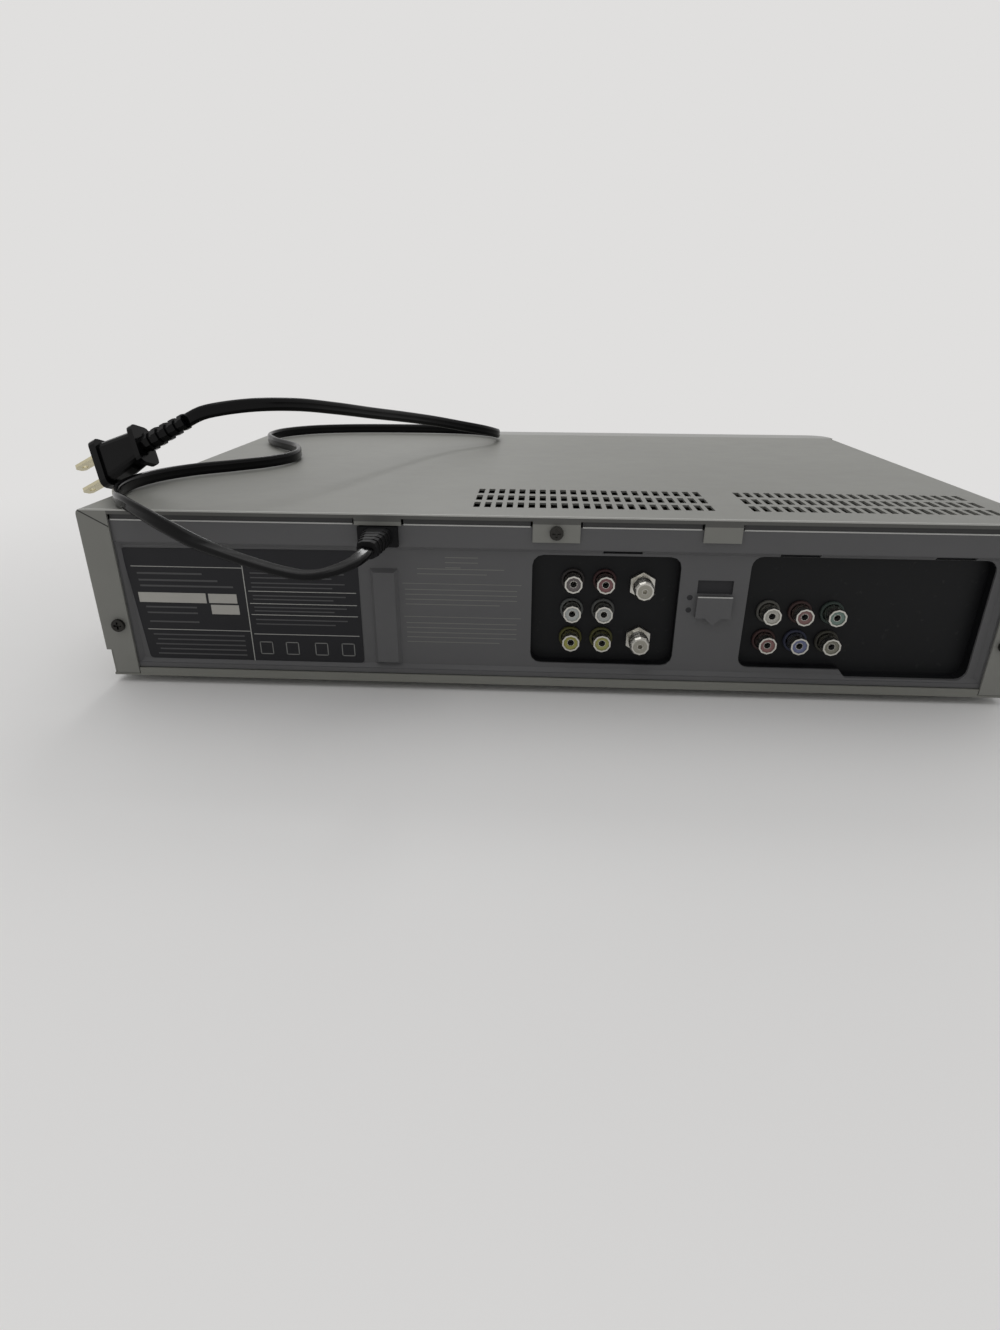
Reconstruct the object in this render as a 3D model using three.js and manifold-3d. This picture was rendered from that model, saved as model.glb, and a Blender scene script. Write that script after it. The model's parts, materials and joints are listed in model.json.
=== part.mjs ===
// A disc player and cassette recorder in one low steel case, with the lead laid on its cover.
// Millimetres, +Z up. The front faces -Y, and +X is on the left of someone who stands behind it.
// Until the last lines, y = 0 is the rear face of the cover and z = 0 is the shelf.
import * as THREE from "three";
import { mergeVertices } from "three/addons/utils/BufferGeometryUtils.js";
import Module from "manifold-3d";

const wasm = await Module();
wasm.setup();

// Case as a whole
const width = 430;
const depth = 292;
const height = 86;
const footHeight = 4;
const seam = 0.3; // gap between two pieces that touch
const through = 2; // how far a cutter runs past a face
const turnedSides = 14; // facets round an ordinary turned piece
const smallSides = 8; // facets round a pin or a screw
const jackSides = 10; // facets round a jack

// Top cover
const coverSheet = 1;
const coverFoldRadius = 2.5;
const coverHemRise = 1.3;
const rearLip = 2.2;
const rearFlange = 14;
const notchHeight = 13.4;
const notchInset = 3;
const notchDepth = 12;
const screwTabX = -1;
const screwTabWidth = 21;
const screwTabDrop = 11.6;
const plainTabShift = 0.3; // from the middle of the latch
const plainTabWidth = 16.5;
const plainTabDrop = 10.5;
const cordTabWidth = 21;
const cordTabDrop = 5.2;
const ventSlots = 22;
const ventRows = 3;
const ventSlotWidth = 3;
const ventSlotLength = 11;
const ventPitch = 5.1;
const ventRowPitch = 15.75;
const ventRearMargin = 22.6;
const ventOuterInset = 70; // from the side of the case to the middle of the outer group
const ventGroupPitch = 127.2;

// Bottom chassis
const chassisSheet = 1;
const chassisWall = 14;
const chassisRearWall = 4;
const chassisNose = 4;
const chassisCorner = 10;
const chassisRibDepth = 1.5;
const chassisRibWidth = 8;
const chassisRibCount = 3;
const chassisRibLengthShare = 0.8;
const chassisRibCrestShare = 0.5;

// Feet
const footRadius = 8;
const footTopRadius = 9;
const rearFootX = 74;
const rearFootY = -17;
const frontFootInset = 47; // from the side of the case
const frontFootSetBack = 36; // behind the front of the case

// Rear panel
const panelSheet = 1;
const panelTopDrop = 5;
const panelBottomRise = 4.3;
const panelSideGap = 3;
const fieldStep = 2;
const fieldSlope = 2;
const fieldTopDrop = 15;
const fieldBottomRise = 6.5;
const fieldSideGap = 0.5;
const ribX = 77.3;
const ribWidth = 13;
const ribLowZ = 12.4;
const ribHighZ = 60.2;
const ribEdge = 1.6;
const windowRadius = 5;
const windowSteps = 4;
const slitWidth = 17.5;
const slitHeight = 1.4;
const slitZ = 69.8;
const avSlitOffset = -6.8; // from the middle of the window below
const discSlitNearOffset = 32.8;
const discSlitFarOffset = -34.2;
const latchOffset = 49.6; // beside the middle of the aerial window
const latchWidth = 16;
const latchSlotLowZ = 51;
const latchSlotHighZ = 57.5;
const latchLowZ = 40;
const latchHighZ = 50.4;
const latchStandOff = 2.4;
const latchVee = 3;
const latchTipWidth = 7;
const screwHoleRadius = 1.7;
const sideScrewInset = 9;
const sideScrewZ = 30.5;
const tabScrewDrop = 7.1;

// Cover screws
const screwHeadRadius = 3.1;
const screwHeadHeight = 1.6;
const screwShankRadius = 1.4;
const screwShankLength = 7;
const screwSlotWidth = 0.9;
const screwSlotLengthShare = 0.6;
const screwSlotDepth = 0.8;

// Windows and jack plates on the rear
const windowPitch = 117.6; // between the middles of the two windows
const avWindowWidth = 67;
const avWindowLowZ = 14.8;
const avWindowHighZ = 68;
const discWindowInset = 73.2; // from the side of the case to the middle of the window
const discWindowWidth = 106.5;
const discWindowLowZ = 15;
const discWindowHighZ = 69;
const discWindowStep = 3.6;
const discWindowStepOffset = 5.8;
const discWindowStepSlope = 3;
const jackPlateDepth = 5;
const jackPlateWall = 1.6;
const jackPlateLip = 3;
const jackPlateLipThickness = 1.4;
const jackPitchX = 14.6;
const jackPitchZ = 14.3;
const avJackOffset = 14.6; // from the middle of its window
const avJackFirstZ = 54.9;
const avJackColumns = 2;
const avJackRows = 3;
const discJackOffset = 41.3;
const discJackFirstZ = 41.6;
const discJackColumns = 3;
const discJackRows = 2;
const collarRadius = 5.3;
const collarHeight = 1.5;
const jackHousing = 12;
const jackHousingDepth = 10;
const jackShellRadius = 4.15;
const jackShellReach = 8.8;
const jackFaceRadius = 3.4;
const jackFaceDepth = 0.8;
const jackPinRadius = 1.6;
const jackPinDepth = 8;
const groundPlate = 1;

// Aerial connectors and tuner
const aerialOffset = 17.3;
const aerialLowZ = 26.6;
const aerialPitchZ = 26.7;
const aerialReach = 2.5; // past the rear face of the cover
const aerialRadius = 4.7;
const aerialRootRadius = 4.1;
const aerialThreadPitch = 2;
const aerialHexFlat = 11;
const aerialHexDepth = 3;
const hexSides = 6;
const aerialPinRadius = 1.2;
const aerialPinDepth = 6;
const tunerFarSide = 22.5; // from the line of the aerial connectors
const tunerNearSide = 10.5;
const tunerLength = 36;
const tunerHeight = 50;
const tunerRibInset = 5;
const tunerRibHeight = 0.8;

// Front bezel
const bezelDepth = 18;
const bezelCorner = 14;
const bezelCornerSteps = 5;
const bezelWall = 2.5;

// Cassette deck
const deckSideGap = 6.8; // between the deck plate and the side of the cover
const slotWidth = 194;
const slotDrop = 9; // below the top of the case
const slotHeight = 33;
const doorThickness = 2.2;
const doorInset = 0.6;
const doorAxisDrop = 1.6; // below the top of the slot
const doorAxisBack = 4.6; // behind the front of the bezel
const doorPinRadius = 1.3;
const doorPinLength = 2.6;
const doorLug = 3;
const doorLugRadius = 2.4;
const doorRibHeight = 1;
const doorRibMargin = 22;
const cheekThickness = 3;
const cheekDepth = 8;
const deckSheet = 1.2;
const deckZ = 20;
const deckSetBack = 30; // behind the front of the case
const deckBoardGap = 4; // between the deck plate and the main board
const deckWallMargin = 4; // outside the slot
const deckWallRise = 7; // above the pins of the carriage
const deckWallEnd = 2;
const deckPostRadius = 4;
const deckPostInset = 10;

// Cassette holder and the carriage that brings it in
const slotSill = 2; // the cassette enters above the foot of the slot
const cassetteHeight = 25;
const holderMargin = 2; // inside the slot on each side
const holderSheet = 1.2;
const holderSetBack = 8; // behind the front of the deck plate
const holderLength = 84;
const holderLip = 12;
const holderHeadroom = 0.6;
const holderWindowWidth = 110;
const holderWindowLength = 40;
const holderPinRadius = 2;
const holderPinRise = 14; // above the cassette
const holderPinInset = 14;
const holderShoulderRadius = 3.4;
const carriageMargin = 1.6; // outside the slot
const carriageSheet = 1.2;
const carriageSkirt = 7; // below the cassette
const carriagePinRise = 21;
const carriagePinInset = 8;
const carriageBarLength = 12;
const holderDrop = 16;
const holderTravel = 30;

// Video drum, reels and capstan
const drumRearMargin = 5; // in front of the rear of the deck plate
const drumRadius = 31;
const drumTilt = 5; // degrees
const drumBaseHeight = 20;
const drumHeadHeight = 19;
const drumSides = 20;
const drumShaftRadius = 3;
const drumHubRadius = 12;
const drumHubHeight = 4;
const drumGroove = 0.6;
const drumGap = 0.4;
const drumFootRadius = 22;
const reelOffset = 46;
const reelSetBack = 54; // behind the front of the holder
const reelRadius = 21;
const reelFlange = 2;
const reelHubRadius = 9;
const reelHubHeight = 5;
const reelSpindleRadius = 4;
const reelSpindleHeight = 19;
const reelTipRadius = 2;
const reelShaftRadius = 2.2;
const reelShaftLength = 4;
const reelFins = 3;
const reelFinThickness = 1.4;
const reelFinReach = 1.8;
const capstanOffset = 40;
const capstanForward = 32; // in front of the drum
const capstanRadius = 1.6;
const capstanTopZ = 47;
const flywheelRadius = 24;
const flywheelRim = 7;
const flywheelRimWidth = 4;
const flywheelWeb = 2.5;
const flywheelHub = 5;
const flywheelZ = 9;
const pinchPivotOffset = 66;
const pinchForward = 16;
const pinchArmLength = 24;
const pinchArmThickness = 2.5;
const pinchArmHalfWidth = 4;
const pinchPostRadius = 1.4;
const pinchRollerRadius = 6.5;
const pinchRollerHeight = 12;
const pinchOpening = 20; // degrees
const pinchArmZ = 27;
const loadingMotorRadius = 10;
const loadingMotorLength = 28;
const loadingMotorOffset = -72;
const loadingMotorBack = 12; // behind the drum
const wormRadius = 3;
const wormLength = 12;

// Disc loader
const traySlotMargin = 2.5; // outside the tray on each side
const traySlotDrop = 19; // below the top of the case
const traySlotHeight = 17;
const loaderSideShare = 0.4436; // of the room between the deck plate and the cover
const loaderWall = 3;
const loaderFloorDrop = 21; // below the tray
const loaderFloor = 2;
const loaderFrontGap = 0.6; // behind the bezel
const loaderEnd = 16; // behind the tray
const loaderWallRise = 9; // above the tray's underside
const loaderPostRadius = 4;
const loaderPostInset = 7;
const trayRim = 5.5; // outside the well for the disc
const trayRunGap = 0.4;
const traySetBack = 3; // behind the front of the case
const trayEnd = 4; // behind the rack
const traySill = 5; // above the foot of its slot
const trayThickness = 4;
const trayCorner = 5;
const trayRailWidth = 4;
const trayRailDepth = 2.5;
const trayTravel = 135;
const trayFrontRim = 9.5; // in front of the well
const discWellRadius = 60.5;
const discWellDepth = 2;
const smallWellRadius = 41;
const smallWellDepth = 1;
const traySides = 32;
const traySlotHalf = 20;
const trayFrontThickness = 3.2;
const trayFrontProud = 0.5;
const ledgeWidth = 5;
const ledgeThickness = 1.6;
const guideTabs = 3;
const guideTabLength = 12;
const guideTabReach = 3;
const guideTabThickness = 1.6;

// Rack, gears, pulleys and belt of the tray
const gearModule = 1.25;
const gearPressure = 20; // degrees
const gearBacklash = 0.3;
const gearRootShare = 1.25; // of the module, below the pitch line
const rackBodyWidth = 3.5;
const rackDepth = 4;
const rackEnd = 1; // past the gear at full travel
const driveTeeth = 16;
const wheelTeeth = 28;
const pinionTeeth = 11;
const gearSetBack = 34; // behind the front of the case
const driveOffset = -38;
const gearPinRadius = 1.8;
const gearFace = 4;
const wheelRise = 1; // above the loader's floor
const driveGearDrop = 5.2; // below the tray
const driveGearFace = 4.7;
const gearHubRadius = 4.2;
const pulleyRadius = 13;
const pulleyGrooveRadius = 12;
const pulleyFlange = 1;
const pulleyRise = 1.2; // above the wheel
const pulleyHeight = 4;
const motorOffset = 32;
const motorPulleyRadius = 4;
const motorPulleyGrooveRadius = 3;
const motorRadius = 11;
const motorLength = 16;
const motorShaftRadius = 1;
const beltThickness = 1.2;
const beltArcSteps = 8;

// Traverse, turntable, pickup and clamp of the disc
const traverseHalfWidth = 39;
const traverseSheet = 2.5;
const traverseDrop = 19.4; // below the tray
const traverseNose = 19; // in front of the spindle
const traverseAxisInset = 8; // in front of the rear of the loader
const traverseAxisRise = 2.8; // above the plate's underside
const traversePinRadius = 2;
const traverseOpeningHalf = 42;
const traverseEar = 4;
const traverseEarLength = 9;
const traverseEarHeight = 9;
const traverseSlotHalf = 26;
const traverseSlotInset = 24; // in front of the axis
const guideRodRadius = 1.5;
const guideRodOffset = 20;
const guideRodRise = 5;
const guideBlock = 6;
const traverseHoleMargin = 2;
const spindleBossRadius = 12;
const spindleBossHeight = 9.4;
const turntableRadius = 14;
const turntableThickness = 2;
const turntableRise = 2; // above the boss
const turntableConeRadius = 7.3;
const turntableConeTipRadius = 5;
const turntableConeHeight = 2.5;
const turntableShaftRadius = 1.5;
const turntableShaftLength = 6;
const pickupHalfWidth = 24;
const pickupLength = 26;
const pickupHeight = 6;
const pickupRise = 2.4; // above the plate's underside
const pickupGap = 4; // behind the spindle's boss
const lensRadius = 4;
const lensHeight = 2.5;
const bridgeThickness = 1.6;
const bridgeLength = 34;
const bridgeEdge = 2.4;
const puckRadius = 15;
const puckThickness = 3;
const puckNeckRadius = 8;
const puckCapRadius = 10;
const puckCapThickness = 1;
const puckRecessRadius = 9;
const puckRecessDepth = 2;
const puckRise = 1.5; // above the tray
const puckNeckLength = 2.7;
const puckHoleGap = 0.6;

// Circuit boards
const boardThickness = 1.6;
const boardZ = 10;
const mainBoardInset = 10; // from the side of the case
const boardGap = 8; // between the two boards
const mainBoardLength = 40.6;
const boardRearGap = 0.5; // in front of the jack plates
const chipHeight = 4;
const chipWidth = 24;
const chipLength = 16;
const chipCount = 4;
const chipInset = 15;
const chipPitch = 30;
const chipSetBack = 14; // behind the front of the board
const powerBoardMargin = 14; // beside the transformer
const powerBoardInset = 12; // from the side of the case
const powerBoardLength = 38;
const transformerWidth = 36;
const transformerLength = 30;
const transformerHeight = 28;
const transformerPitch = 45; // beside the reservoir
const reservoirRadius = 11;
const reservoirHeight = 34;
const reservoirPitch = 39; // beside the heat sink
const heatSinkInset = 25; // from the end of the board
const heatSinkLength = 40;
const heatSinkHeight = 40;
const heatSinkFins = 5;
const heatSinkPitch = 5;
const heatSinkFin = 1.6;
const boardPostRadius = 3;
const boardPostInset = 6;
const frontBoardSetBack = 12; // behind the front of the case
const frontBoardInset = 12; // from the side of the case
const frontBoardTop = 41;

// Display window and buttons
const displayZ = 32;
const displayWidth = 104;
const displayHeight = 20;
const displayRim = 2;
const displayRimThickness = 1.5;
const displayGlassWidth = 92;
const displayGlassHeight = 16;
const displayGlassDepth = 5;
const buttonProud = 1.2;
const buttonTravel = 1;
const buttonRim = 1.2;
const buttonRimThickness = 1;
const buttonStem = 3;
const buttonCorner = 2;
const keyWidth = 22;
const keyHeight = 8;
const keyZ = 26;
const keyOffset = 61; // from the middle of the deck to the first key
const keyPitch = 28;
const powerRadius = 7;
const powerInset = 21; // from the side of the case
const trayKeyWidth = 15;
const trayKeyHeight = 7;
const trayKeyOffset = 70; // from the middle of the display

// Strain relief, lead and plug
const cordInset = 136.7; // from the side of the case
const cordDrop = 10; // below the top of the case
const cordRadius = 3.25;
const cordSides = 8;
const cordSteps = 58;
const reliefWidth = 16;
const reliefHeight = 8;
const reliefShoulder = 1;
const reliefFlangeReach = 1.5;
const reliefInside = 8;
const reliefReach = 23.7;
const reliefTaperWidth = 13;
const reliefTipWidth = 8.4;
const reliefTipHeight = 7.6;
const reliefCorner = 2.6;
const reliefRibs = 4;
const reliefRibHeight = 0.5;
const reliefRibWidth = 1.6;
const plugYaw = -96.6; // degrees, as are the next two
const plugPitch = -25.8;
const plugRoll = 22.2;
const plugFlangeHeight = 25;
const plugFlangeWidth = 15;
const plugFlangeDepth = 4;
const plugBodyHeight = 21;
const plugBodyWidth = 12.5;
const plugBodyLength = 20;
const plugTailHeight = 15;
const plugTailWidth = 10.5;
const plugRidgeHeight = 20;
const plugRidgeWidth = 12.5;
const plugRidgeDepth = 3;
const plugBootLength = 27;
const plugBootRadius = 5.2;
const plugBootTipRadius = 3.9;
const plugBootRibs = 5;
const plugBootGroove = 0.7;
const plugCorner = 3;
const bladePitch = 12.7;
const bladeWidth = 6.35;
const bladeThickness = 1.5;
const bladeLength = 17;
const bladeHoleRadius = 1.6;
const bladeHoleBack = 4.5;
const bladeRoot = 6;

// Points of the lead, chosen by hand. The first bend is measured from the tip of the strain relief.
const cordStart = [
  [0, 0.4, 0],
  [0.1, 4.3, -0.1],
  [2.3, 10.9, -1.4],
  [9.7, 16.1, -3.8],
  [21.7, 16.3, -6],
];

// Its course over the cover: in from the side of the case, back or forward of its rear and up from its top
const cordRoute = [
  [69, 25, -9],
  [54, 20, -4],
  [40, 14, 1],
  [27, 5, 3.9],
  [15.5, -9, 3.7],
  [8, -26, 3.7],
  [5.5, -45, 3.7],
  [9.5, -64, 3.7],
  [20.5, -82, 3.7],
  [37, -96.5, 3.7],
  [52, -112, 3.7],
  [60, -132, 3.7],
  [53, -161, 3.7],
  [27, -194, 3.7],
  [17, -216, 3.7],
  [19, -240, 3.7],
  [34, -259, 3.7],
  [57, -269, 3.7],
  [83, -273, 3.7],
  [135, -273, 3.7],
  [157, -268, 3.7],
  [174, -254, 3.9],
  [177, -238, 5.4],
  [169, -222, 9.4],
  [154, -209, 13.6],
  [138, -190, 18.6],
  [123, -163, 23.8],
  [109, -132, 29],
  [96, -102, 34.2],
  [82, -76, 38.3],
  [67, -58, 39.6],
  [53, -50, 38.4],
  [43.5, -48.4, 36.4],
  [35.15, -49.3, 32.7],
];

const degree = Math.PI / 180;

// Solids from three.js geometry, and back
function solid(geometry) {
  const bare = geometry.clone();
  bare.deleteAttribute("normal");
  bare.deleteAttribute("uv");
  const merged = mergeVertices(bare);
  return new wasm.Manifold(
    new wasm.Mesh({
      numProp: 3,
      vertProperties: merged.attributes.position.array,
      triVerts: new Uint32Array(merged.index.array),
    }),
  );
}

function geometryOf(body) {
  const mesh = body.getMesh();
  const geometry = new THREE.BufferGeometry();
  geometry.setAttribute("position", new THREE.BufferAttribute(mesh.vertProperties, mesh.numProp));
  geometry.setIndex(new THREE.BufferAttribute(mesh.triVerts, 1));
  return geometry;
}

const join = (...bodies) => bodies.reduce((all, body) => all.add(body));
const cut = (body, ...tools) => tools.reduce((rest, tool) => rest.subtract(tool), body);

function box(lowX, highX, lowY, highY, lowZ, highZ) {
  const geometry = new THREE.BoxGeometry(highX - lowX, highY - lowY, highZ - lowZ);
  geometry.translate((lowX + highX) / 2, (lowY + highY) / 2, (lowZ + highZ) / 2);
  return solid(geometry);
}

// A block centred on (x, y) that stands on lowZ
function block(x, y, sizeX, sizeY, lowZ, highZ) {
  return box(x - sizeX / 2, x + sizeX / 2, y - sizeY / 2, y + sizeY / 2, lowZ, highZ);
}

// Outlines: points in a plane
function rectangle(low, high, base, top) {
  return [
    [low, base],
    [high, base],
    [high, top],
    [low, top],
  ];
}

function rounded(low, high, base, top, radius, steps = 3) {
  const corners = [
    [high - radius, top - radius, 0],
    [low + radius, top - radius, 1],
    [low + radius, base + radius, 2],
    [high - radius, base + radius, 3],
  ];
  return corners.flatMap(([x, y, quarter]) =>
    Array.from({ length: steps + 1 }, (_, i) => {
      const angle = ((quarter + i / steps) * Math.PI) / 2;
      return [x + radius * Math.cos(angle), y + radius * Math.sin(angle)];
    }),
  );
}

function ring(x, y, radius, sides = turnedSides) {
  return Array.from({ length: sides }, (_, i) => {
    const angle = (2 * Math.PI * (i + 1 / 2)) / sides;
    return [x + radius * Math.cos(angle), y + radius * Math.sin(angle)];
  });
}

// Prisms of an outline along each axis: (x, y) along Z, (x, z) along Y and (y, z) along X
function extrude(points, length) {
  const shape = new THREE.Shape(points.map(([a, b]) => new THREE.Vector2(a, b)));
  return new THREE.ExtrudeGeometry(shape, { depth: length, bevelEnabled: false });
}

function prismZ(points, low, high) {
  return solid(extrude(points, high - low).translate(0, 0, low));
}

function prismY(points, low, high) {
  return solid(extrude(points, high - low).rotateX(Math.PI / 2).translate(0, high, 0));
}

function prismX(points, low, high) {
  const turn = new THREE.Matrix4().makeBasis(
    new THREE.Vector3(0, 1, 0),
    new THREE.Vector3(0, 0, 1),
    new THREE.Vector3(1, 0, 0),
  );
  return solid(extrude(points, high - low).applyMatrix4(turn).translate(low, 0, 0));
}

const rodX = (y, z, radius, low, high, sides = smallSides) => prismX(ring(y, z, radius, sides), low, high);
const rodY = (x, z, radius, low, high, sides = smallSides) => prismY(ring(x, z, radius, sides), low, high);
const rodZ = (x, y, radius, low, high, sides = smallSides) => prismZ(ring(x, y, radius, sides), low, high);

// Turned pieces, from [radius, height] pairs that start and end on the axis
function lathe(profile, sides = turnedSides) {
  const points = profile.map(([radius, along]) => new THREE.Vector2(radius, along));
  return new THREE.LatheGeometry(points, sides);
}

const turned = (x, y, profile, sides) => solid(lathe(profile, sides).rotateX(Math.PI / 2).translate(x, y, 0));
const turnedY = (x, z, profile, sides) => solid(lathe(profile, sides).translate(x, 0, z));

// A straight loft along Y between two outlines of (x, z) points with as many points each
function loftY(rearPoints, rearY, frontPoints, frontY) {
  const count = rearPoints.length;
  const position = [
    ...rearPoints.flatMap(([x, z]) => [x, rearY, z]),
    ...frontPoints.flatMap(([x, z]) => [x, frontY, z]),
  ];
  const cap = THREE.ShapeUtils.triangulateShape(
    rearPoints.map(([x, z]) => new THREE.Vector2(x, z)),
    [],
  );
  const index = [];
  for (const [a, b, c] of cap) {
    index.push(a, c, b, count + a, count + b, count + c);
  }
  for (let i = 0; i < count; i += 1) {
    const next = (i + 1) % count;
    index.push(i, next, count + i, next, count + next, count + i);
  }
  const geometry = new THREE.BufferGeometry();
  geometry.setAttribute("position", new THREE.Float32BufferAttribute(position, 3));
  geometry.setIndex(index);
  return solid(geometry);
}

// Levels and planes that several pieces share
const coverHalf = width / 2;
const coverInside = height - coverSheet;
const hem = footHeight + coverHemRise;
const chassisTop = footHeight + chassisSheet;
const bezelBack = -depth + bezelDepth;
const bezelFloor = chassisTop + seam;
const bezelInside = -depth + bezelWall;
const panelFace = -coverSheet - seam;
const fieldFace = panelFace - fieldStep;
const fieldBack = fieldFace - panelSheet;
const panelTop = height - panelTopDrop;
const panelBottom = footHeight + panelBottomRise;
const jackFloor = fieldBack - jackPlateDepth;
const jackFloorBack = jackFloor - jackPlateWall;
const frontFootX = coverHalf - frontFootInset;
const frontFootY = -depth + frontFootSetBack;

// Places across the rear
const discWindowX = -coverHalf + discWindowInset;
const avWindowX = discWindowX + windowPitch;
const discWindowStepX = discWindowX + discWindowStepOffset;
const discJackFirstX = discWindowX + discJackOffset;
const avJackFirstX = avWindowX + avJackOffset;
const aerialX = avWindowX - aerialOffset;
const tunerLowX = aerialX - tunerFarSide;
const tunerHighX = aerialX + tunerNearSide;
const latchX = avWindowX - latchOffset;
const plainTabX = latchX + plainTabShift;
const slitXs = [avWindowX + avSlitOffset, discWindowX + discSlitNearOffset, discWindowX + discSlitFarOffset];
const ventOuterX = -coverHalf + ventOuterInset;
const ventInnerX = ventOuterX + ventGroupPitch;
const cordX = coverHalf - cordInset;
const cordZ = height - cordDrop;

// Circuit boards: two along the rear and one behind the front
const boardRearY = jackFloorBack - boardRearGap;
const mainBoardFrontY = boardRearY - mainBoardLength;
const powerBoardFrontY = boardRearY - powerBoardLength;
const powerBoardHighX = coverHalf - powerBoardInset;
const heatSinkX = powerBoardHighX - heatSinkInset;
const reservoirX = heatSinkX - reservoirPitch;
const transformerX = reservoirX - transformerPitch;
const powerBoardLowX = transformerX - transformerWidth / 2 - powerBoardMargin;
const mainBoardLowX = -coverHalf + mainBoardInset;
const mainBoardHighX = powerBoardLowX - boardGap;
const frontBoardY = -depth + frontBoardSetBack;
const frontBoardHalf = coverHalf - frontBoardInset;

// Cassette deck: as wide as its slot, and as long as the room between the front and the main board
const deckWallOffset = slotWidth / 2 + deckWallMargin;
const deckHalf = deckWallOffset + deckSheet;
const deckX = -coverHalf + coverSheet + deckSideGap + deckHalf;
const deckFrontY = -depth + deckSetBack;
const deckRearY = mainBoardFrontY - deckBoardGap;
const deckTop = deckZ + deckSheet;
const slotHighZ = height - slotDrop;
const slotLowZ = slotHighZ - slotHeight;
const doorAxisY = -depth + doorAxisBack;
const doorAxisZ = slotHighZ - doorAxisDrop;
const cassetteLowZ = slotLowZ + slotSill;
const holderHalfWidth = slotWidth / 2 - holderMargin;
const holderFrontY = deckFrontY + holderSetBack;
const holderRearY = holderFrontY + holderLength;
const holderPinZ = cassetteLowZ + holderPinRise;
const carriageOffset = slotWidth / 2 + carriageMargin;
const carriageLowZ = cassetteLowZ - carriageSkirt;
const carriageHighZ = cassetteLowZ + cassetteHeight;
const carriagePinZ = cassetteLowZ + carriagePinRise;
const deckWallTop = carriagePinZ + deckWallRise;
const deckWallRearY = holderRearY + holderTravel + deckWallEnd;
const reelY = holderFrontY + reelSetBack;
const drumY = deckRearY - drumRearMargin - drumRadius;
const capstanY = drumY - capstanForward;
const pinchPivotY = drumY - pinchForward;
const loadingMotorY = drumY + loadingMotorBack;

// Disc loader: as wide as the disc, and long enough for the travel of its rack
const trayHalfWidth = discWellRadius + trayRim;
const traySlotWidth = 2 * (trayHalfWidth + traySlotMargin);
const loaderHalfWidth = trayHalfWidth + trayRunGap;
const loaderHalf = loaderHalfWidth + loaderWall;
const loaderRoom = coverHalf - coverSheet - deckX - deckHalf - 2 * loaderHalf;
const discX = coverHalf - coverSheet - loaderRoom * loaderSideShare - loaderHalf;
const traySlotHighZ = height - traySlotDrop;
const traySlotLowZ = traySlotHighZ - traySlotHeight;
const trayLowZ = traySlotLowZ + traySill;
const trayHighZ = trayLowZ + trayThickness;
const trayFrontY = -depth + traySetBack;
const discCentreY = trayFrontY + trayFrontRim + discWellRadius;
const gearY = -depth + gearSetBack;
const rackFrontY = trayFrontY + trayCorner;
const rackRearY = gearY + trayTravel + rackEnd;
const trayRearY = rackRearY + trayEnd;
const loaderFrontY = bezelBack + loaderFrontGap;
const loaderRearY = trayRearY + loaderEnd;
const loaderFloorZ = trayLowZ - loaderFloorDrop;
const loaderWallTop = trayLowZ + loaderWallRise;
const wheelZ = loaderFloorZ + loaderFloor + wheelRise;
const pulleyZ = wheelZ + gearFace + pulleyRise;
const driveGearZ = trayLowZ - driveGearDrop;

// Traverse: pivoted near the rear of the loader, with the spindle under the middle of the disc
const traverseLowZ = trayLowZ - traverseDrop;
const traverseFrontY = discCentreY - traverseNose;
const traverseAxisY = loaderRearY - traverseAxisInset;
const traverseAxisZ = traverseLowZ + traverseAxisRise;
const traverseEarTop = loaderFloorZ + traverseEarHeight;
const traverseSlotRearY = traverseAxisY - traverseSlotInset;
const guideRodZ = traverseLowZ + guideRodRise;
const spindleBossTop = traverseLowZ + spindleBossHeight;
const turntableZ = spindleBossTop + turntableRise;
const pickupLowZ = traverseLowZ + pickupRise;
const pickupFirstY = discCentreY + spindleBossRadius + pickupGap;
const puckLowZ = trayHighZ + puckRise;

// Places across the front
const displayX = discX;
const trayKeyX = displayX - trayKeyOffset;
const trayKeyZ = displayZ;
const keyFirstX = deckX + keyOffset;
const powerX = -coverHalf + powerInset;

// Casing
// The two bent corners of the cover's section, from the left side to the right
function foldedTop(half, top, radius, steps = 3) {
  return [0, 1].flatMap((side) =>
    Array.from({ length: steps + 1 }, (_, i) => {
      const angle = ((side + i / steps) * Math.PI) / 2;
      const x = side ? -half + radius : half - radius;
      return [x + radius * Math.cos(angle), top - radius + radius * Math.sin(angle)];
    }),
  );
}

const coverOutline = (half, top, radius) => [[half, hem], ...foldedTop(half, top, radius), [-half, hem]];

function topCover() {
  const outer = coverOutline(coverHalf, height, coverFoldRadius);
  const inner = coverOutline(coverHalf - coverSheet, coverInside, coverFoldRadius - coverSheet).reverse();
  const skin = prismY([...outer, ...inner], bezelBack + seam, 0);
  const vents = [ventInnerX, ventOuterX].map(ventCutter);
  return cut(join(skin, coverRearEdge(outer)), ...vents, ...coverRearCuts());
}

function coverTab(x, tabWidth, drop) {
  return box(x - tabWidth / 2, x + tabWidth / 2, -coverSheet, 0, height - drop, coverInside);
}

// The rear edge is turned in: a narrow lip along the top, wide flanges at the sides and three tabs
function coverRearEdge(outer) {
  const inner = coverHalf - rearFlange;
  const plate = prismY(outer, -coverSheet, 0);
  const opening = box(-inner, inner, -coverSheet - through, through, 0, height - rearLip);
  return join(
    cut(plate, opening),
    coverTab(screwTabX, screwTabWidth, screwTabDrop),
    coverTab(plainTabX, plainTabWidth, plainTabDrop),
    coverTab(cordX, cordTabWidth, cordTabDrop),
  );
}

const rearScrewPlaces = [
  [coverHalf - sideScrewInset, sideScrewZ],
  [-coverHalf + sideScrewInset, sideScrewZ],
  [screwTabX, height - tabScrewDrop],
];

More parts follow.
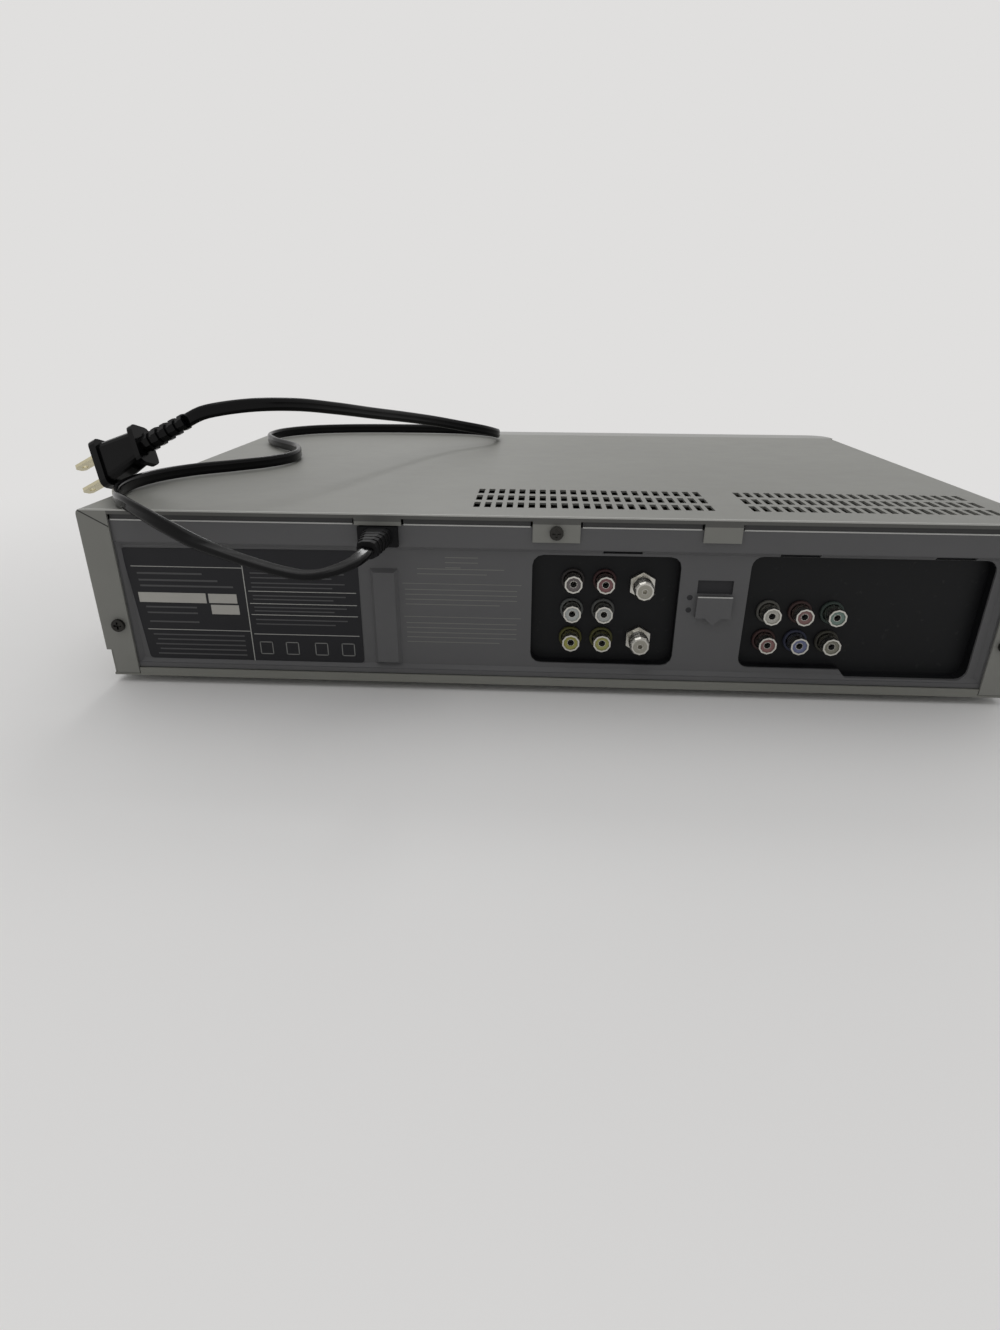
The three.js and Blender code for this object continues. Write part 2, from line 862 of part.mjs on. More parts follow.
function coverRearCuts() {
  const top = footHeight + notchHeight;
  const inner = coverHalf - notchInset;
  return [
    box(inner, coverHalf + through, -notchDepth, through, 0, top),
    box(-coverHalf - through, -inner, -notchDepth, through, 0, top),
    ...rearScrewPlaces.map(([x, z]) => rodY(x, z, screwHoleRadius, -coverSheet - through, through)),
  ];
}

function ventCutter(centreX) {
  const slots = [];
  for (let row = 0; row < ventRows; row += 1) {
    for (let slot = 0; slot < ventSlots; slot += 1) {
      const x = centreX + (slot - (ventSlots - 1) / 2) * ventPitch;
      const y = -ventRearMargin - row * ventRowPitch;
      slots.push(block(x, y, ventSlotWidth, ventSlotLength, coverInside - through, height + through));
    }
  }
  return join(...slots);
}

function bottomChassis() {
  const half = coverHalf - coverSheet - seam;
  const front = -depth + chassisNose;
  const rear = panelFace + coverSheet;
  const floor = [
    [-half + chassisCorner, front],
    [half - chassisCorner, front],
    [half, front + chassisCorner],
    [half, rear],
    [-half, rear],
    [-half, front + chassisCorner],
  ];
  const wallTop = footHeight + chassisWall;
  const wall = (low) => box(low, low + chassisSheet, bezelBack + seam, panelFace, footHeight, wallTop);
  const rearHalf = coverHalf - rearFlange - seam;
  const rearTop = footHeight + chassisRearWall;
  const rearWall = box(-rearHalf, rearHalf, rear - chassisSheet, rear, footHeight, rearTop);
  return join(
    prismZ(floor, footHeight, chassisTop),
    wall(half - chassisSheet),
    wall(-half),
    rearWall,
    ...chassisRibs(),
  );
}

// Long beads pressed up out of the floor to stiffen it
function chassisRibs() {
  const length = (depth - bezelDepth) * chassisRibLengthShare;
  const middle = -(depth - bezelDepth) / 2;
  const pitch = width / (chassisRibCount + 1);
  const crest = chassisRibWidth * chassisRibCrestShare;
  return Array.from({ length: chassisRibCount }, (_, i) => {
    const x = -coverHalf + pitch * (i + 1);
    const bead = [
      [x - chassisRibWidth / 2, chassisTop],
      [x + chassisRibWidth / 2, chassisTop],
      [x + crest / 2, chassisTop + chassisRibDepth],
      [x - crest / 2, chassisTop + chassisRibDepth],
    ];
    return prismY(bead, middle - length / 2, middle + length / 2);
  });
}

function foot(x, y) {
  const profile = [
    [0, 0],
    [footRadius, 0],
    [footTopRadius, footHeight - seam],
    [0, footHeight - seam],
  ];
  return turned(x, y, profile);
}

// Rear panel: a pressed sheet whose middle is set in, with two windows for the jack plates
const avWindow = (grow = 0) =>
  rounded(
    avWindowX - avWindowWidth / 2 - grow,
    avWindowX + avWindowWidth / 2 + grow,
    avWindowLowZ - grow,
    avWindowHighZ + grow,
    windowRadius + grow,
  );

function discWindow(grow = 0) {
  const low = discWindowX - discWindowWidth / 2 - grow;
  const high = discWindowX + discWindowWidth / 2 + grow;
  const top = discWindowHighZ + grow;
  const base = discWindowLowZ - grow;
  const radius = windowRadius + grow;
  const arc = (x, z, quarter) =>
    Array.from({ length: windowSteps + 1 }, (_, i) => {
      const angle = ((quarter + i / windowSteps) * Math.PI) / 2;
      return [x + radius * Math.cos(angle), z + radius * Math.sin(angle)];
    });
  return [
    ...arc(high - radius, top - radius, 0),
    ...arc(low + radius, top - radius, 1),
    ...arc(low + radius, base - discWindowStep + radius, 2),
    [discWindowStepX - discWindowStepSlope, base - discWindowStep],
    [discWindowStepX, base],
    ...arc(high - radius, base + radius, 3),
  ];
}

function fieldOutline(shrink) {
  const half = coverHalf - rearFlange - fieldSideGap - shrink;
  return rectangle(-half, half, footHeight + fieldBottomRise + shrink, height - fieldTopDrop - shrink);
}

const rearPanel = () => join(pressedPanel(), latchTab());

function pressedPanel() {
  const half = coverHalf - panelSideGap;
  const sheet = box(-half, half, panelFace - panelSheet, panelFace, panelBottom, panelTop);
  const behind = panelFace - panelSheet;
  const pan = loftY(fieldOutline(-panelSheet), behind, fieldOutline(fieldSlope - panelSheet), fieldBack);
  const hollow = loftY(fieldOutline(0), panelFace, fieldOutline(fieldSlope), fieldFace);
  const opening = prismY(fieldOutline(0), panelFace - seam, panelFace + through);
  const pressed = cut(join(sheet, pan), hollow, opening);
  const slit = (x, slotLength, low, high) =>
    box(x - slotLength / 2, x + slotLength / 2, fieldBack - through, panelFace + through, low, high);
  return cut(
    cut(join(pressed, panelRib()), slit(latchX, latchWidth, latchSlotLowZ, latchSlotHighZ)),
    panelRibHollow(),
    prismY(avWindow(), fieldBack - through, fieldFace + through),
    prismY(discWindow(), fieldBack - through, fieldFace + through),
    ...slitXs.map((x) => slit(x, slitWidth, slitZ - slitHeight / 2, slitZ + slitHeight / 2)),
    reliefOpening(),
    ...rearScrewPlaces.map(([x, z]) => rodY(x, z, screwHoleRadius, behind - through, panelFace + through)),
  );
}

// The upright bead beside the label is pressed out as far as the panel's own face
function panelRib() {
  const half = ribWidth / 2;
  const foot = rectangle(ribX - half, ribX + half, ribLowZ, ribHighZ);
  const crestHalf = half - ribEdge;
  const crest = rectangle(ribX - crestHalf, ribX + crestHalf, ribLowZ + ribEdge, ribHighZ - ribEdge);
  return loftY(crest, panelFace, foot, fieldFace);
}

function panelRibHollow() {
  const half = ribWidth / 2 - panelSheet;
  const low = ribLowZ + panelSheet;
  const high = ribHighZ - panelSheet;
  const foot = rectangle(ribX - half, ribX + half, low, high);
  const crest = rectangle(ribX - half + ribEdge, ribX + half - ribEdge, low + ribEdge, high - ribEdge);
  return loftY(crest, panelFace - panelSheet, foot, fieldBack);
}

// A tongue lanced out of the sheet, standing off it and joined along its lower part
function latchTab() {
  const half = latchWidth / 2;
  const face = fieldFace + latchStandOff;
  const tongue = [
    [latchX - half, latchLowZ],
    [latchX - latchTipWidth / 2, latchLowZ],
    [latchX - latchTipWidth / 2 + latchVee, latchLowZ - latchVee],
    [latchX + latchTipWidth / 2 - latchVee, latchLowZ - latchVee],
    [latchX + latchTipWidth / 2, latchLowZ],
    [latchX + half, latchLowZ],
    [latchX + half, latchHighZ],
    [latchX - half, latchHighZ],
  ];
  const rootTop = latchLowZ + latchStandOff;
  const root = box(latchX - half, latchX + half, fieldFace - panelSheet / 2, face, latchLowZ, rootTop);
  return join(prismY(tongue, face - panelSheet, face), root);
}

function reliefOpening() {
  const half = reliefWidth / 2 + seam;
  const low = cordZ - reliefHeight / 2 - seam;
  return box(cordX - half, cordX + half, panelFace - through, panelFace + through, low, height);
}

function coverScrew(x, z) {
  const head = rodY(x, z, screwHeadRadius, seam, screwHeadHeight + seam, turnedSides);
  const shank = rodY(x, z, screwShankRadius, -screwShankLength, screwHeadHeight);
  const top = screwHeadHeight + seam;
  const slot = (sizeX, sizeZ) =>
    box(x - sizeX / 2, x + sizeX / 2, top - screwSlotDepth, top + through, z - sizeZ / 2, z + sizeZ / 2);
  const reach = 2 * screwHeadRadius * screwSlotLengthShare;
  return cut(join(head, shank), slot(reach, screwSlotWidth), slot(screwSlotWidth, reach));
}

// Jack plates: a black dish behind each window, with a collar and a housing for each jack
function jackPlaces(firstX, firstZ, columns, rows) {
  const places = [];
  for (let row = 0; row < rows; row += 1) {
    for (let column = 0; column < columns; column += 1) {
      places.push([firstX - column * jackPitchX, firstZ - row * jackPitchZ]);
    }
  }
  return places;
}

const avJacks = jackPlaces(avJackFirstX, avJackFirstZ, avJackColumns, avJackRows);
const discJacks = jackPlaces(discJackFirstX, discJackFirstZ, discJackColumns, discJackRows);
const aerialPlaces = [
  [aerialX, aerialLowZ + aerialPitchZ],
  [aerialX, aerialLowZ],
];

function jackBlock(outline, jacks) {
  const lipBack = fieldBack - seam - jackPlateLipThickness;
  const lip = prismY(outline(jackPlateLip), lipBack, fieldBack - seam);
  const dish = prismY(outline(jackPlateWall), jackFloorBack, fieldBack - seam);
  const hollow = prismY(outline(0), jackFloor, fieldBack + through);
  const back = jackFloorBack - jackHousingDepth;
  const size = jackHousing / 2;
  const tip = jackFloor + collarHeight;
  const collar = ([x, z]) => rodY(x, z, collarRadius, jackFloor - seam, tip, jackSides);
  const housing = ([x, z]) => box(x - size, x + size, back, jackFloorBack + seam, z - size, z + size);
  const bore = ([x, z]) => rodY(x, z, jackShellRadius + seam, back - through, through, jackSides);
  const plate = cut(join(lip, dish), hollow);
  return cut(join(plate, ...jacks.map(collar), ...jacks.map(housing)), ...jacks.map(bore));
}

function avJackBlock() {
  const bore = ([x, z]) => rodY(x, z, aerialRadius + seam, jackFloorBack - through, through, jackSides);
  return cut(jackBlock(avWindow, avJacks), ...aerialPlaces.map(bore));
}

// The earthed shells: drawn sleeves that stand on one stamped plate behind the housings
function jackShells(jacks) {
  const plateFront = jackFloorBack - jackHousingDepth - seam;
  const tip = jackFloor + jackShellReach;
  const xs = jacks.map(([x]) => x);
  const zs = jacks.map(([, z]) => z);
  const size = jackHousing / 2;
  const plate = box(
    Math.min(...xs) - size,
    Math.max(...xs) + size,
    plateFront - groundPlate,
    plateFront,
    Math.min(...zs) - size,
    Math.max(...zs) + size,
  );
  const root = plateFront - groundPlate / 2;
  const sleeve = ([x, z]) => rodY(x, z, jackShellRadius, root, tip, jackSides);
  const face = ([x, z]) => rodY(x, z, jackFaceRadius, tip - jackFaceDepth, tip + through, jackSides);
  const pin = ([x, z]) => rodY(x, z, jackPinRadius, tip - jackPinDepth, tip);
  return cut(join(plate, ...jacks.map(sleeve)), ...jacks.map(face), ...jacks.map(pin));
}

function aerialConnector(x, z) {
  const canFace = jackFloorBack - seam;
  const profile = [];
  const threadStart = jackFloor + aerialHexDepth;
  for (let y = threadStart; y < aerialReach - aerialThreadPitch; y += aerialThreadPitch) {
    profile.push([aerialRootRadius, y + aerialThreadPitch / 2], [aerialRadius, y + aerialThreadPitch]);
  }
  const barrel = [[0, canFace], [aerialRadius, canFace], [aerialRadius, threadStart], ...profile];
  barrel.push([aerialRootRadius, aerialReach], [0, aerialReach]);
  const body = turnedY(x, z, barrel, jackSides);
  const hexRadius = aerialHexFlat / Math.sqrt(3);
  const hex = rodY(x, z, hexRadius, jackFloor + seam, threadStart, hexSides);
  const pin = rodY(x, z, aerialPinRadius, aerialReach - aerialPinDepth, aerialReach + through);
  return cut(join(body, hex), pin);
}

function tunerBox() {
  const face = jackFloorBack - 2 * seam;
  const low = boardZ + boardThickness + seam;
  const can = box(tunerLowX, tunerHighX, face - tunerLength, face, low, low + tunerHeight);
  const lid = box(
    tunerLowX + tunerRibInset,
    tunerHighX - tunerRibInset,
    face - tunerLength + tunerRibInset,
    face - tunerRibInset,
    low + tunerHeight - tunerRibHeight,
    low + tunerHeight + tunerRibHeight,
  );
  return join(can, lid);
}

// Front bezel: a shallow moulded shell, open to the rear, with rounded upright corners
function bezelOutline(shrink, back) {
  const half = coverHalf - shrink;
  const front = -depth + shrink;
  const radius = bezelCorner - shrink;
  const arc = (x, quarter) =>
    Array.from({ length: bezelCornerSteps + 1 }, (_, i) => {
      const angle = ((quarter + i / bezelCornerSteps) * Math.PI) / 2;
      return [x + radius * Math.cos(angle), front + radius + radius * Math.sin(angle)];
    });
  return [[-half, back], ...arc(-half + radius, 2), ...arc(half - radius, 3), [half, back]];
}

const keyPlaces = {
  stop_button: [keyFirstX, keyZ],
  forward_button: [keyFirstX - keyPitch, keyZ],
  play_button: [keyFirstX - 2 * keyPitch, keyZ],
  rewind_button: [keyFirstX - 3 * keyPitch, keyZ],
  eject_button: [keyFirstX - 4 * keyPitch, keyZ],
};

function keyOutline(x, z, sizeX, sizeZ, grow = 0) {
  const halfX = sizeX / 2 + grow;
  const halfZ = sizeZ / 2 + grow;
  return rounded(x - halfX, x + halfX, z - halfZ, z + halfZ, buttonCorner + grow);
}

const powerOutline = (grow = 0) => ring(powerX, keyZ, powerRadius + grow, turnedSides);

function frontBezel() {
  const shell = cut(
    prismZ(bezelOutline(0, bezelBack), bezelFloor, height),
    prismZ(bezelOutline(bezelWall, bezelBack + through), bezelFloor + bezelWall, height - bezelWall),
  );
  const wallCut = (points) => prismY(points, -depth - through, bezelInside + through);
  const keys = Object.values(keyPlaces).map(([x, z]) => keyOutline(x, z, keyWidth, keyHeight, seam));
  const slot = rectangle(deckX - slotWidth / 2, deckX + slotWidth / 2, slotLowZ, slotHighZ);
  const pinBore = slotWidth / 2 + cheekThickness + seam;
  const trayHalf = traySlotWidth / 2;
  const tray = rectangle(discX - trayHalf, discX + trayHalf, traySlotLowZ, traySlotHighZ);
  const display = rectangle(
    displayX - displayWidth / 2 - seam,
    displayX + displayWidth / 2 + seam,
    displayZ - displayHeight / 2 - seam,
    displayZ + displayHeight / 2 + seam,
  );
  return cut(
    join(shell, ...doorCheeks()),
    ...keys.map(wallCut),
    wallCut(powerOutline(seam)),
    wallCut(trayKeyOutline(seam)),
    wallCut(slot),
    wallCut(tray),
    wallCut(display),
    rodX(doorAxisY, doorAxisZ, doorPinRadius + seam, deckX - pinBore, deckX + pinBore),
  );
}

// Two cheeks behind the cassette slot, bored for the pins of the door
function doorCheeks() {
  const inner = slotWidth / 2;
  const outer = inner + cheekThickness;
  const low = doorAxisZ - cheekDepth;
  const high = height - bezelWall / 2;
  const cheek = (from, to) => box(from, to, bezelInside - seam, bezelInside + cheekDepth, low, high);
  return [cheek(deckX + inner, deckX + outer), cheek(deckX - outer, deckX - inner)];
}

function cassetteDoor() {
  const half = slotWidth / 2 - seam;
  const front = -depth + doorInset;
  const back = front + doorThickness;
  const low = slotLowZ + 2 * seam;
  const high = slotHighZ - seam;
  const panel = box(deckX - half, deckX + half, front, back, low, high);
  const lug = (x) => {
    const plate = rodX(doorAxisY, doorAxisZ, doorLugRadius, x, x + doorLug);
    const middle = front + doorThickness / 2;
    const web = box(x, x + doorLug, middle, doorAxisY, doorAxisZ - doorLugRadius, doorAxisZ);
    return join(plate, web);
  };
  const pin = (from, to) => rodX(doorAxisY, doorAxisZ, doorPinRadius, from, to);
  const rib = box(
    deckX - half + doorRibMargin,
    deckX + half - doorRibMargin,
    back - seam,
    back + doorRibHeight,
    low + doorThickness,
    low + 2 * doorThickness,
  );
  return join(
    panel,
    lug(deckX - half),
    lug(deckX + half - doorLug),
    pin(deckX - half - doorPinLength, deckX - half + doorLug),
    pin(deckX + half - doorLug, deckX + half + doorPinLength),
    rib,
  );
}

// Buttons: a cap in its opening, a rim that holds it behind the wall and a stem towards its switch
function button(outline, x, z, halfStem) {
  const cap = prismY(outline(0), -depth - buttonProud, bezelInside + seam);
  const rim = prismY(outline(buttonRim), bezelInside + seam, bezelInside + seam + buttonRimThickness);
  const stemEnd = frontBoardY - buttonTravel - seam;
  const stem = box(x - halfStem, x + halfStem, bezelInside, stemEnd, z - halfStem, z + halfStem);
  return join(cap, rim, stem);
}

const transportButton = ([x, z]) =>
  button((grow) => keyOutline(x, z, keyWidth, keyHeight, grow), x, z, buttonStem / 2);
const powerButton = () => button(powerOutline, powerX, keyZ, buttonStem / 2);
const trayKeyOutline = (grow) => keyOutline(trayKeyX, trayKeyZ, trayKeyWidth, trayKeyHeight, grow);
const trayButton = () => button(trayKeyOutline, trayKeyX, trayKeyZ, buttonStem / 2);

function displayWindow() {
  const outline = (grow) =>
    rectangle(
      displayX - displayWidth / 2 - grow,
      displayX + displayWidth / 2 + grow,
      displayZ - displayHeight / 2 - grow,
      displayZ + displayHeight / 2 + grow,
    );
  const pane = prismY(outline(0), -depth, bezelInside + seam);
  const rim = prismY(outline(displayRim), bezelInside + seam, bezelInside + seam + displayRimThickness);
  return join(pane, rim);
}

function frontBoard() {
  const low = bezelFloor + bezelWall + seam;
  const rear = frontBoardY + boardThickness;
  const sheet = box(-frontBoardHalf, frontBoardHalf, frontBoardY, rear, low, frontBoardTop);
  const glass = box(
    displayX - displayGlassWidth / 2,
    displayX + displayGlassWidth / 2,
    frontBoardY - displayGlassDepth,
    frontBoardY + seam,
    displayZ - displayGlassHeight / 2,
    displayZ + displayGlassHeight / 2,
  );
  return join(sheet, glass);
}

// Cassette deck: a plate on four posts with two upright guide walls
function deckPlate() {
  const outer = deckHalf;
  const plate = box(deckX - outer, deckX + outer, deckFrontY, deckRearY, deckZ, deckTop);
  const wall = (from, to) => box(from, to, deckFrontY, deckWallRearY, deckZ, deckWallTop);
  const slots = carriagePins().map((y) =>
    rounded(
      y - holderPinRadius - seam,
      y + holderTravel + holderPinRadius + seam,
      carriagePinZ - holderPinRadius - seam,
      carriagePinZ + holderPinRadius + seam,
      holderPinRadius,
    ),
  );
  const posts = [-1, 1].flatMap((side) =>
    [deckFrontY + deckPostInset, deckRearY - deckPostInset].map((y) =>
      rodZ(deckX + side * (outer - deckPostInset), y, deckPostRadius, chassisTop + seam, deckTop - seam),
    ),
  );
  const bores = [-1, 1].map((side) =>
    rodZ(deckX + side * reelOffset, reelY, reelShaftRadius + seam, deckZ - through, deckTop + through),
  );
  const capstanBore = rodZ(
    deckX + capstanOffset,
    capstanY,
    capstanRadius + seam,
    deckZ - through,
    deckTop + through,
  );
  const walls = [wall(deckX - outer, deckX - deckWallOffset), wall(deckX + deckWallOffset, deckX + outer)];
  return cut(
    join(plate, ...walls, ...posts),
    ...slots.map((slot) => prismX(slot, deckX - outer - through, deckX + outer + through)),
    ...bores,
    capstanBore,
  );
}

const carriagePins = () => [holderFrontY + carriagePinInset, holderRearY - carriagePinInset];
const holderPins = () => [holderFrontY + holderPinInset, holderRearY - holderPinInset];

// The carriage: two side plates with upright slots, joined over the top by a bar
function holderCarriage() {
  const outer = carriageOffset + carriageSheet;
  const barLow = cassetteLowZ + cassetteHeight + holderHeadroom + holderSheet + seam;
  const barFront = holderRearY - carriageBarLength;
  const barTop = barLow + carriageSheet;
  const slots = holderPins().map((y) =>
    rounded(
      y - holderPinRadius - seam,
      y + holderPinRadius + seam,
      holderPinZ - holderDrop - holderPinRadius - seam,
      holderPinZ + holderPinRadius + seam,
      holderPinRadius,
    ),
  );
  const sides = [-1, 1].map((side) => {
    const from = deckX + side * (side > 0 ? carriageOffset : outer);
    const to = from + carriageSheet;
    const plate = box(from, to, holderFrontY, holderRearY, carriageLowZ, carriageHighZ);
    const lug = box(from, to, barFront, holderRearY, carriageLowZ, barTop);
    return join(plate, lug);
  });
  const bar = box(deckX - outer, deckX + outer, barFront, holderRearY, barLow, barTop);
  const pinEnd = deckHalf + seam;
  const pins = carriagePins().flatMap((y) => [
    rodX(y, carriagePinZ, holderPinRadius, deckX + outer - seam, deckX + pinEnd),
    rodX(y, carriagePinZ, holderPinRadius, deckX - pinEnd, deckX - outer + seam),
  ]);
  return cut(
    join(bar, ...sides, ...pins),
    ...slots.map((slot) => prismX(slot, deckX - outer - through, deckX + outer + through)),
  );
}

// The holder: a folded tunnel that takes the cassette, open below between its two lips
function cassetteHolder() {
  const inside = holderHalfWidth;
  const outer = inside + holderSheet;
  const low = cassetteLowZ - holderSheet;
  const roof = cassetteLowZ + cassetteHeight + holderHeadroom;
  const middle = (holderFrontY + holderRearY) / 2;
  const hollow = (half, base, top) =>
    box(deckX - half, deckX + half, holderFrontY - through, holderRearY + through, base, top);
  const shell = cut(
    box(deckX - outer, deckX + outer, holderFrontY, holderRearY, low, roof + holderSheet),
    hollow(inside, cassetteLowZ, roof),
    hollow(inside - holderLip, 0, cassetteLowZ + seam),
    block(deckX, middle, holderWindowWidth, holderWindowLength, roof - seam, height),
  );
  const pinEnd = carriageOffset + carriageSheet + seam;
  const shoulder = carriageOffset - seam;
  const pins = holderPins().flatMap((y) => [
    rodX(y, holderPinZ, holderPinRadius, deckX + outer - seam, deckX + pinEnd),
    rodX(y, holderPinZ, holderPinRadius, deckX - pinEnd, deckX - outer + seam),
    rodX(y, holderPinZ, holderShoulderRadius, deckX + outer - seam, deckX + shoulder),
    rodX(y, holderPinZ, holderShoulderRadius, deckX - shoulder, deckX - outer + seam),
  ]);
  return join(shell, ...pins);
}

// The video drum leans forward: both halves are turned upright and then tilted about the same point
const drumZ = deckTop + seam + drumRadius * Math.sin(drumTilt * degree);

function leaning(profile) {
  const geometry = lathe(profile, drumSides).rotateX(Math.PI / 2 + drumTilt * degree);
  return solid(geometry.translate(deckX, drumY, drumZ));
}

function drumBase() {
  const profile = [
    [0, 0],
    [drumRadius, 0],
    [drumRadius, drumBaseHeight],
    [0, drumBaseHeight],
  ];
  const pedestalTop = drumZ + drumBaseHeight / 2;
  const pedestal = rodZ(deckX, drumY, drumFootRadius, deckTop + seam, pedestalTop, turnedSides);
  return join(leaning(profile), pedestal);
}

function drumHead() {
  const low = drumBaseHeight + drumGap;
  const high = low + drumHeadHeight;
  const profile = [
    [0, low],
    [drumRadius, low],
    [drumRadius, high - drumGroove],
    [drumRadius - drumGroove, high],
    [drumHubRadius, high],
    [drumHubRadius, high + drumHubHeight],
    [drumShaftRadius, high + drumHubHeight],
    [drumShaftRadius, high + 2 * drumHubHeight],
    [0, high + 2 * drumHubHeight],
  ];
  return leaning(profile);
}

function reel(side) {
  const x = deckX + side * reelOffset;
  const low = deckTop + seam;
  const profile = [
    [0, deckZ - reelShaftLength],
    [reelShaftRadius, deckZ - reelShaftLength],
    [reelShaftRadius, low],
    [reelRadius, low],
    [reelRadius, low + reelFlange],
    [reelHubRadius, low + reelFlange],
    [reelHubRadius, low + reelHubHeight],
    [reelSpindleRadius, low + reelHubHeight],
    [reelSpindleRadius, low + reelSpindleHeight - reelTipRadius],
    [reelTipRadius, low + reelSpindleHeight],
    [0, low + reelSpindleHeight],
  ];
  const reach = reelSpindleRadius + reelFinReach;
  const top = low + reelSpindleHeight - 2 * reelTipRadius;
  const fins = Array.from({ length: reelFins }, (_, i) => {
    const fin = new THREE.BoxGeometry(reach, reelFinThickness, top - low);
    fin.translate(reach / 2, 0, (top + low) / 2);
    fin.rotateZ((2 * Math.PI * i) / reelFins);
    return solid(fin.translate(x, reelY, 0));
  });
  return join(turned(x, reelY, profile), ...fins);
}

function capstan() {
  const rimLow = flywheelRadius - flywheelRimWidth;
  const webLow = flywheelZ + (flywheelRim - flywheelWeb) / 2;
  const profile = [
    [0, flywheelZ],
    [flywheelHub, flywheelZ],
    [flywheelHub, webLow],
    [rimLow, webLow],
    [rimLow, flywheelZ],
    [flywheelRadius, flywheelZ],
    [flywheelRadius, flywheelZ + flywheelRim],
    [rimLow, flywheelZ + flywheelRim],
    [rimLow, webLow + flywheelWeb],
    [flywheelHub, webLow + flywheelWeb],
    [flywheelHub, deckZ - seam],
    [capstanRadius, deckZ - seam],
    [capstanRadius, capstanTopZ],
    [0, capstanTopZ],
  ];
  return turned(deckX + capstanOffset, capstanY, profile);
}

// The pinch roller stands clear of the capstan by the opening angle of its arm
function pinchRollerPlace() {
  const pivot = new THREE.Vector2(deckX + pinchPivotOffset, pinchPivotY);
  const toCapstan = new THREE.Vector2(deckX + capstanOffset, capstanY).sub(pivot);
  const reach = capstanRadius + pinchRollerRadius + seam;
  const far = toCapstan.length();
  const cosine = (far ** 2 + pinchArmLength ** 2 - reach ** 2) / (2 * far * pinchArmLength);
  const closed = toCapstan.angle() + Math.acos(cosine);
  const angle = closed + pinchOpening * degree;
  return [pivot.x + pinchArmLength * Math.cos(angle), pivot.y + pinchArmLength * Math.sin(angle)];
}

function pinchArm() {
  const [x, y] = pinchRollerPlace();
  const pivotX = deckX + pinchPivotOffset;
  const along = new THREE.Vector2(x - pivotX, y - pinchPivotY).normalize();
  const across = [-along.y * pinchArmHalfWidth, along.x * pinchArmHalfWidth];
  const bar = prismZ(
    [
      [pivotX + across[0], pinchPivotY + across[1]],
      [x + across[0], y + across[1]],
      [x - across[0], y - across[1]],
      [pivotX - across[0], pinchPivotY - across[1]],
    ].reverse(),
    pinchArmZ,
    pinchArmZ + pinchArmThickness,
  );
  const top = pinchArmZ + pinchArmThickness;
  return join(
    bar,
    rodZ(pivotX, pinchPivotY, pinchArmHalfWidth, deckTop + seam, top),
    rodZ(x, y, pinchArmHalfWidth, pinchArmZ, top),
    rodZ(x, y, pinchPostRadius, top - seam, top + pinchRollerHeight + 3 * seam),
  );
}

function pinchRoller() {
  const [x, y] = pinchRollerPlace();
  const low = pinchArmZ + pinchArmThickness + seam;
  return cut(
    rodZ(x, y, pinchRollerRadius, low, low + pinchRollerHeight, turnedSides),
    rodZ(x, y, pinchPostRadius + seam, low - through, low + pinchRollerHeight + through),
  );
}

function loadingMotor() {
  const x = deckX + loadingMotorOffset;
  const z = deckTop + seam + loadingMotorRadius;
  const end = x + loadingMotorLength / 2;
  const can = rodX(loadingMotorY, z, loadingMotorRadius, end - loadingMotorLength, end, turnedSides);
  const worm = rodX(loadingMotorY, z, wormRadius, end - seam, end + wormLength);
  const cradle = block(x, loadingMotorY, loadingMotorLength / 2, loadingMotorRadius, deckTop + seam, z);
  return join(can, worm, cradle);
}

// Involute spur gear outline about (x, y), with a tooth on the direction given by phase
function gearOutline(x, y, teeth, phase) {
  const pitch = (gearModule * teeth) / 2;
  const base = pitch * Math.cos(gearPressure * degree);
  const tip = pitch + gearModule;
  const root = pitch - gearRootShare * gearModule;
  const involute = (radius) => {
    const angle = Math.acos(Math.min(1, base / radius));
    return Math.tan(angle) - angle;
  };
  const halfAtPitch = ((Math.PI * gearModule) / 2 - gearBacklash) / (2 * pitch);
  const half = (radius) => halfAtPitch + involute(pitch) - involute(Math.max(radius, base));
  const flank = [root, tip];
  const points = [];
  for (let tooth = 0; tooth < teeth; tooth += 1) {
    const middle = phase + (2 * Math.PI * tooth) / teeth;
    const rising = flank.map((radius) => [radius, middle - half(radius)]);
    const falling = [...flank].reverse().map((radius) => [radius, middle + half(radius)]);
    points.push(...rising, ...falling);
  }
  return points.map(([radius, angle]) => [x + radius * Math.cos(angle), y + radius * Math.sin(angle)]);
}

const driveX = discX + driveOffset;
const drivePitch = (gearModule * driveTeeth) / 2;
const wheelPitch = (gearModule * wheelTeeth) / 2;
const pinionPitch = (gearModule * pinionTeeth) / 2;
const pulleyX = driveX + wheelPitch + pinionPitch;
const motorX = discX + motorOffset;

// The rack under the tray: one tooth stands on the line through the gear's centre
function trayRack() {
  const pitchLine = driveX - drivePitch;
  const tip = pitchLine + gearModule;
  const root = pitchLine - gearRootShare * gearModule;
  const step = Math.PI * gearModule;
  const lean = Math.tan(gearPressure * degree);
  const halfAtPitch = step / 4 - gearBacklash / 2;
  const halfTip = halfAtPitch - gearModule * lean;
  const halfRoot = halfAtPitch + gearRootShare * gearModule * lean;
  const first = Math.ceil((rackFrontY - gearY + halfRoot) / step);
  const last = Math.floor((rackRearY - gearY - halfRoot) / step);
  const points = [[root - rackBodyWidth, rackRearY], [root - rackBodyWidth, rackFrontY], [root, rackFrontY]];
  for (let tooth = first; tooth <= last; tooth += 1) {
    const y = gearY + tooth * step;
    points.push([root, y - halfRoot], [tip, y - halfTip], [tip, y + halfTip], [root, y + halfRoot]);
  }
  points.push([root, rackRearY]);
  return prismZ(points, trayLowZ - rackDepth, trayLowZ + seam);
}

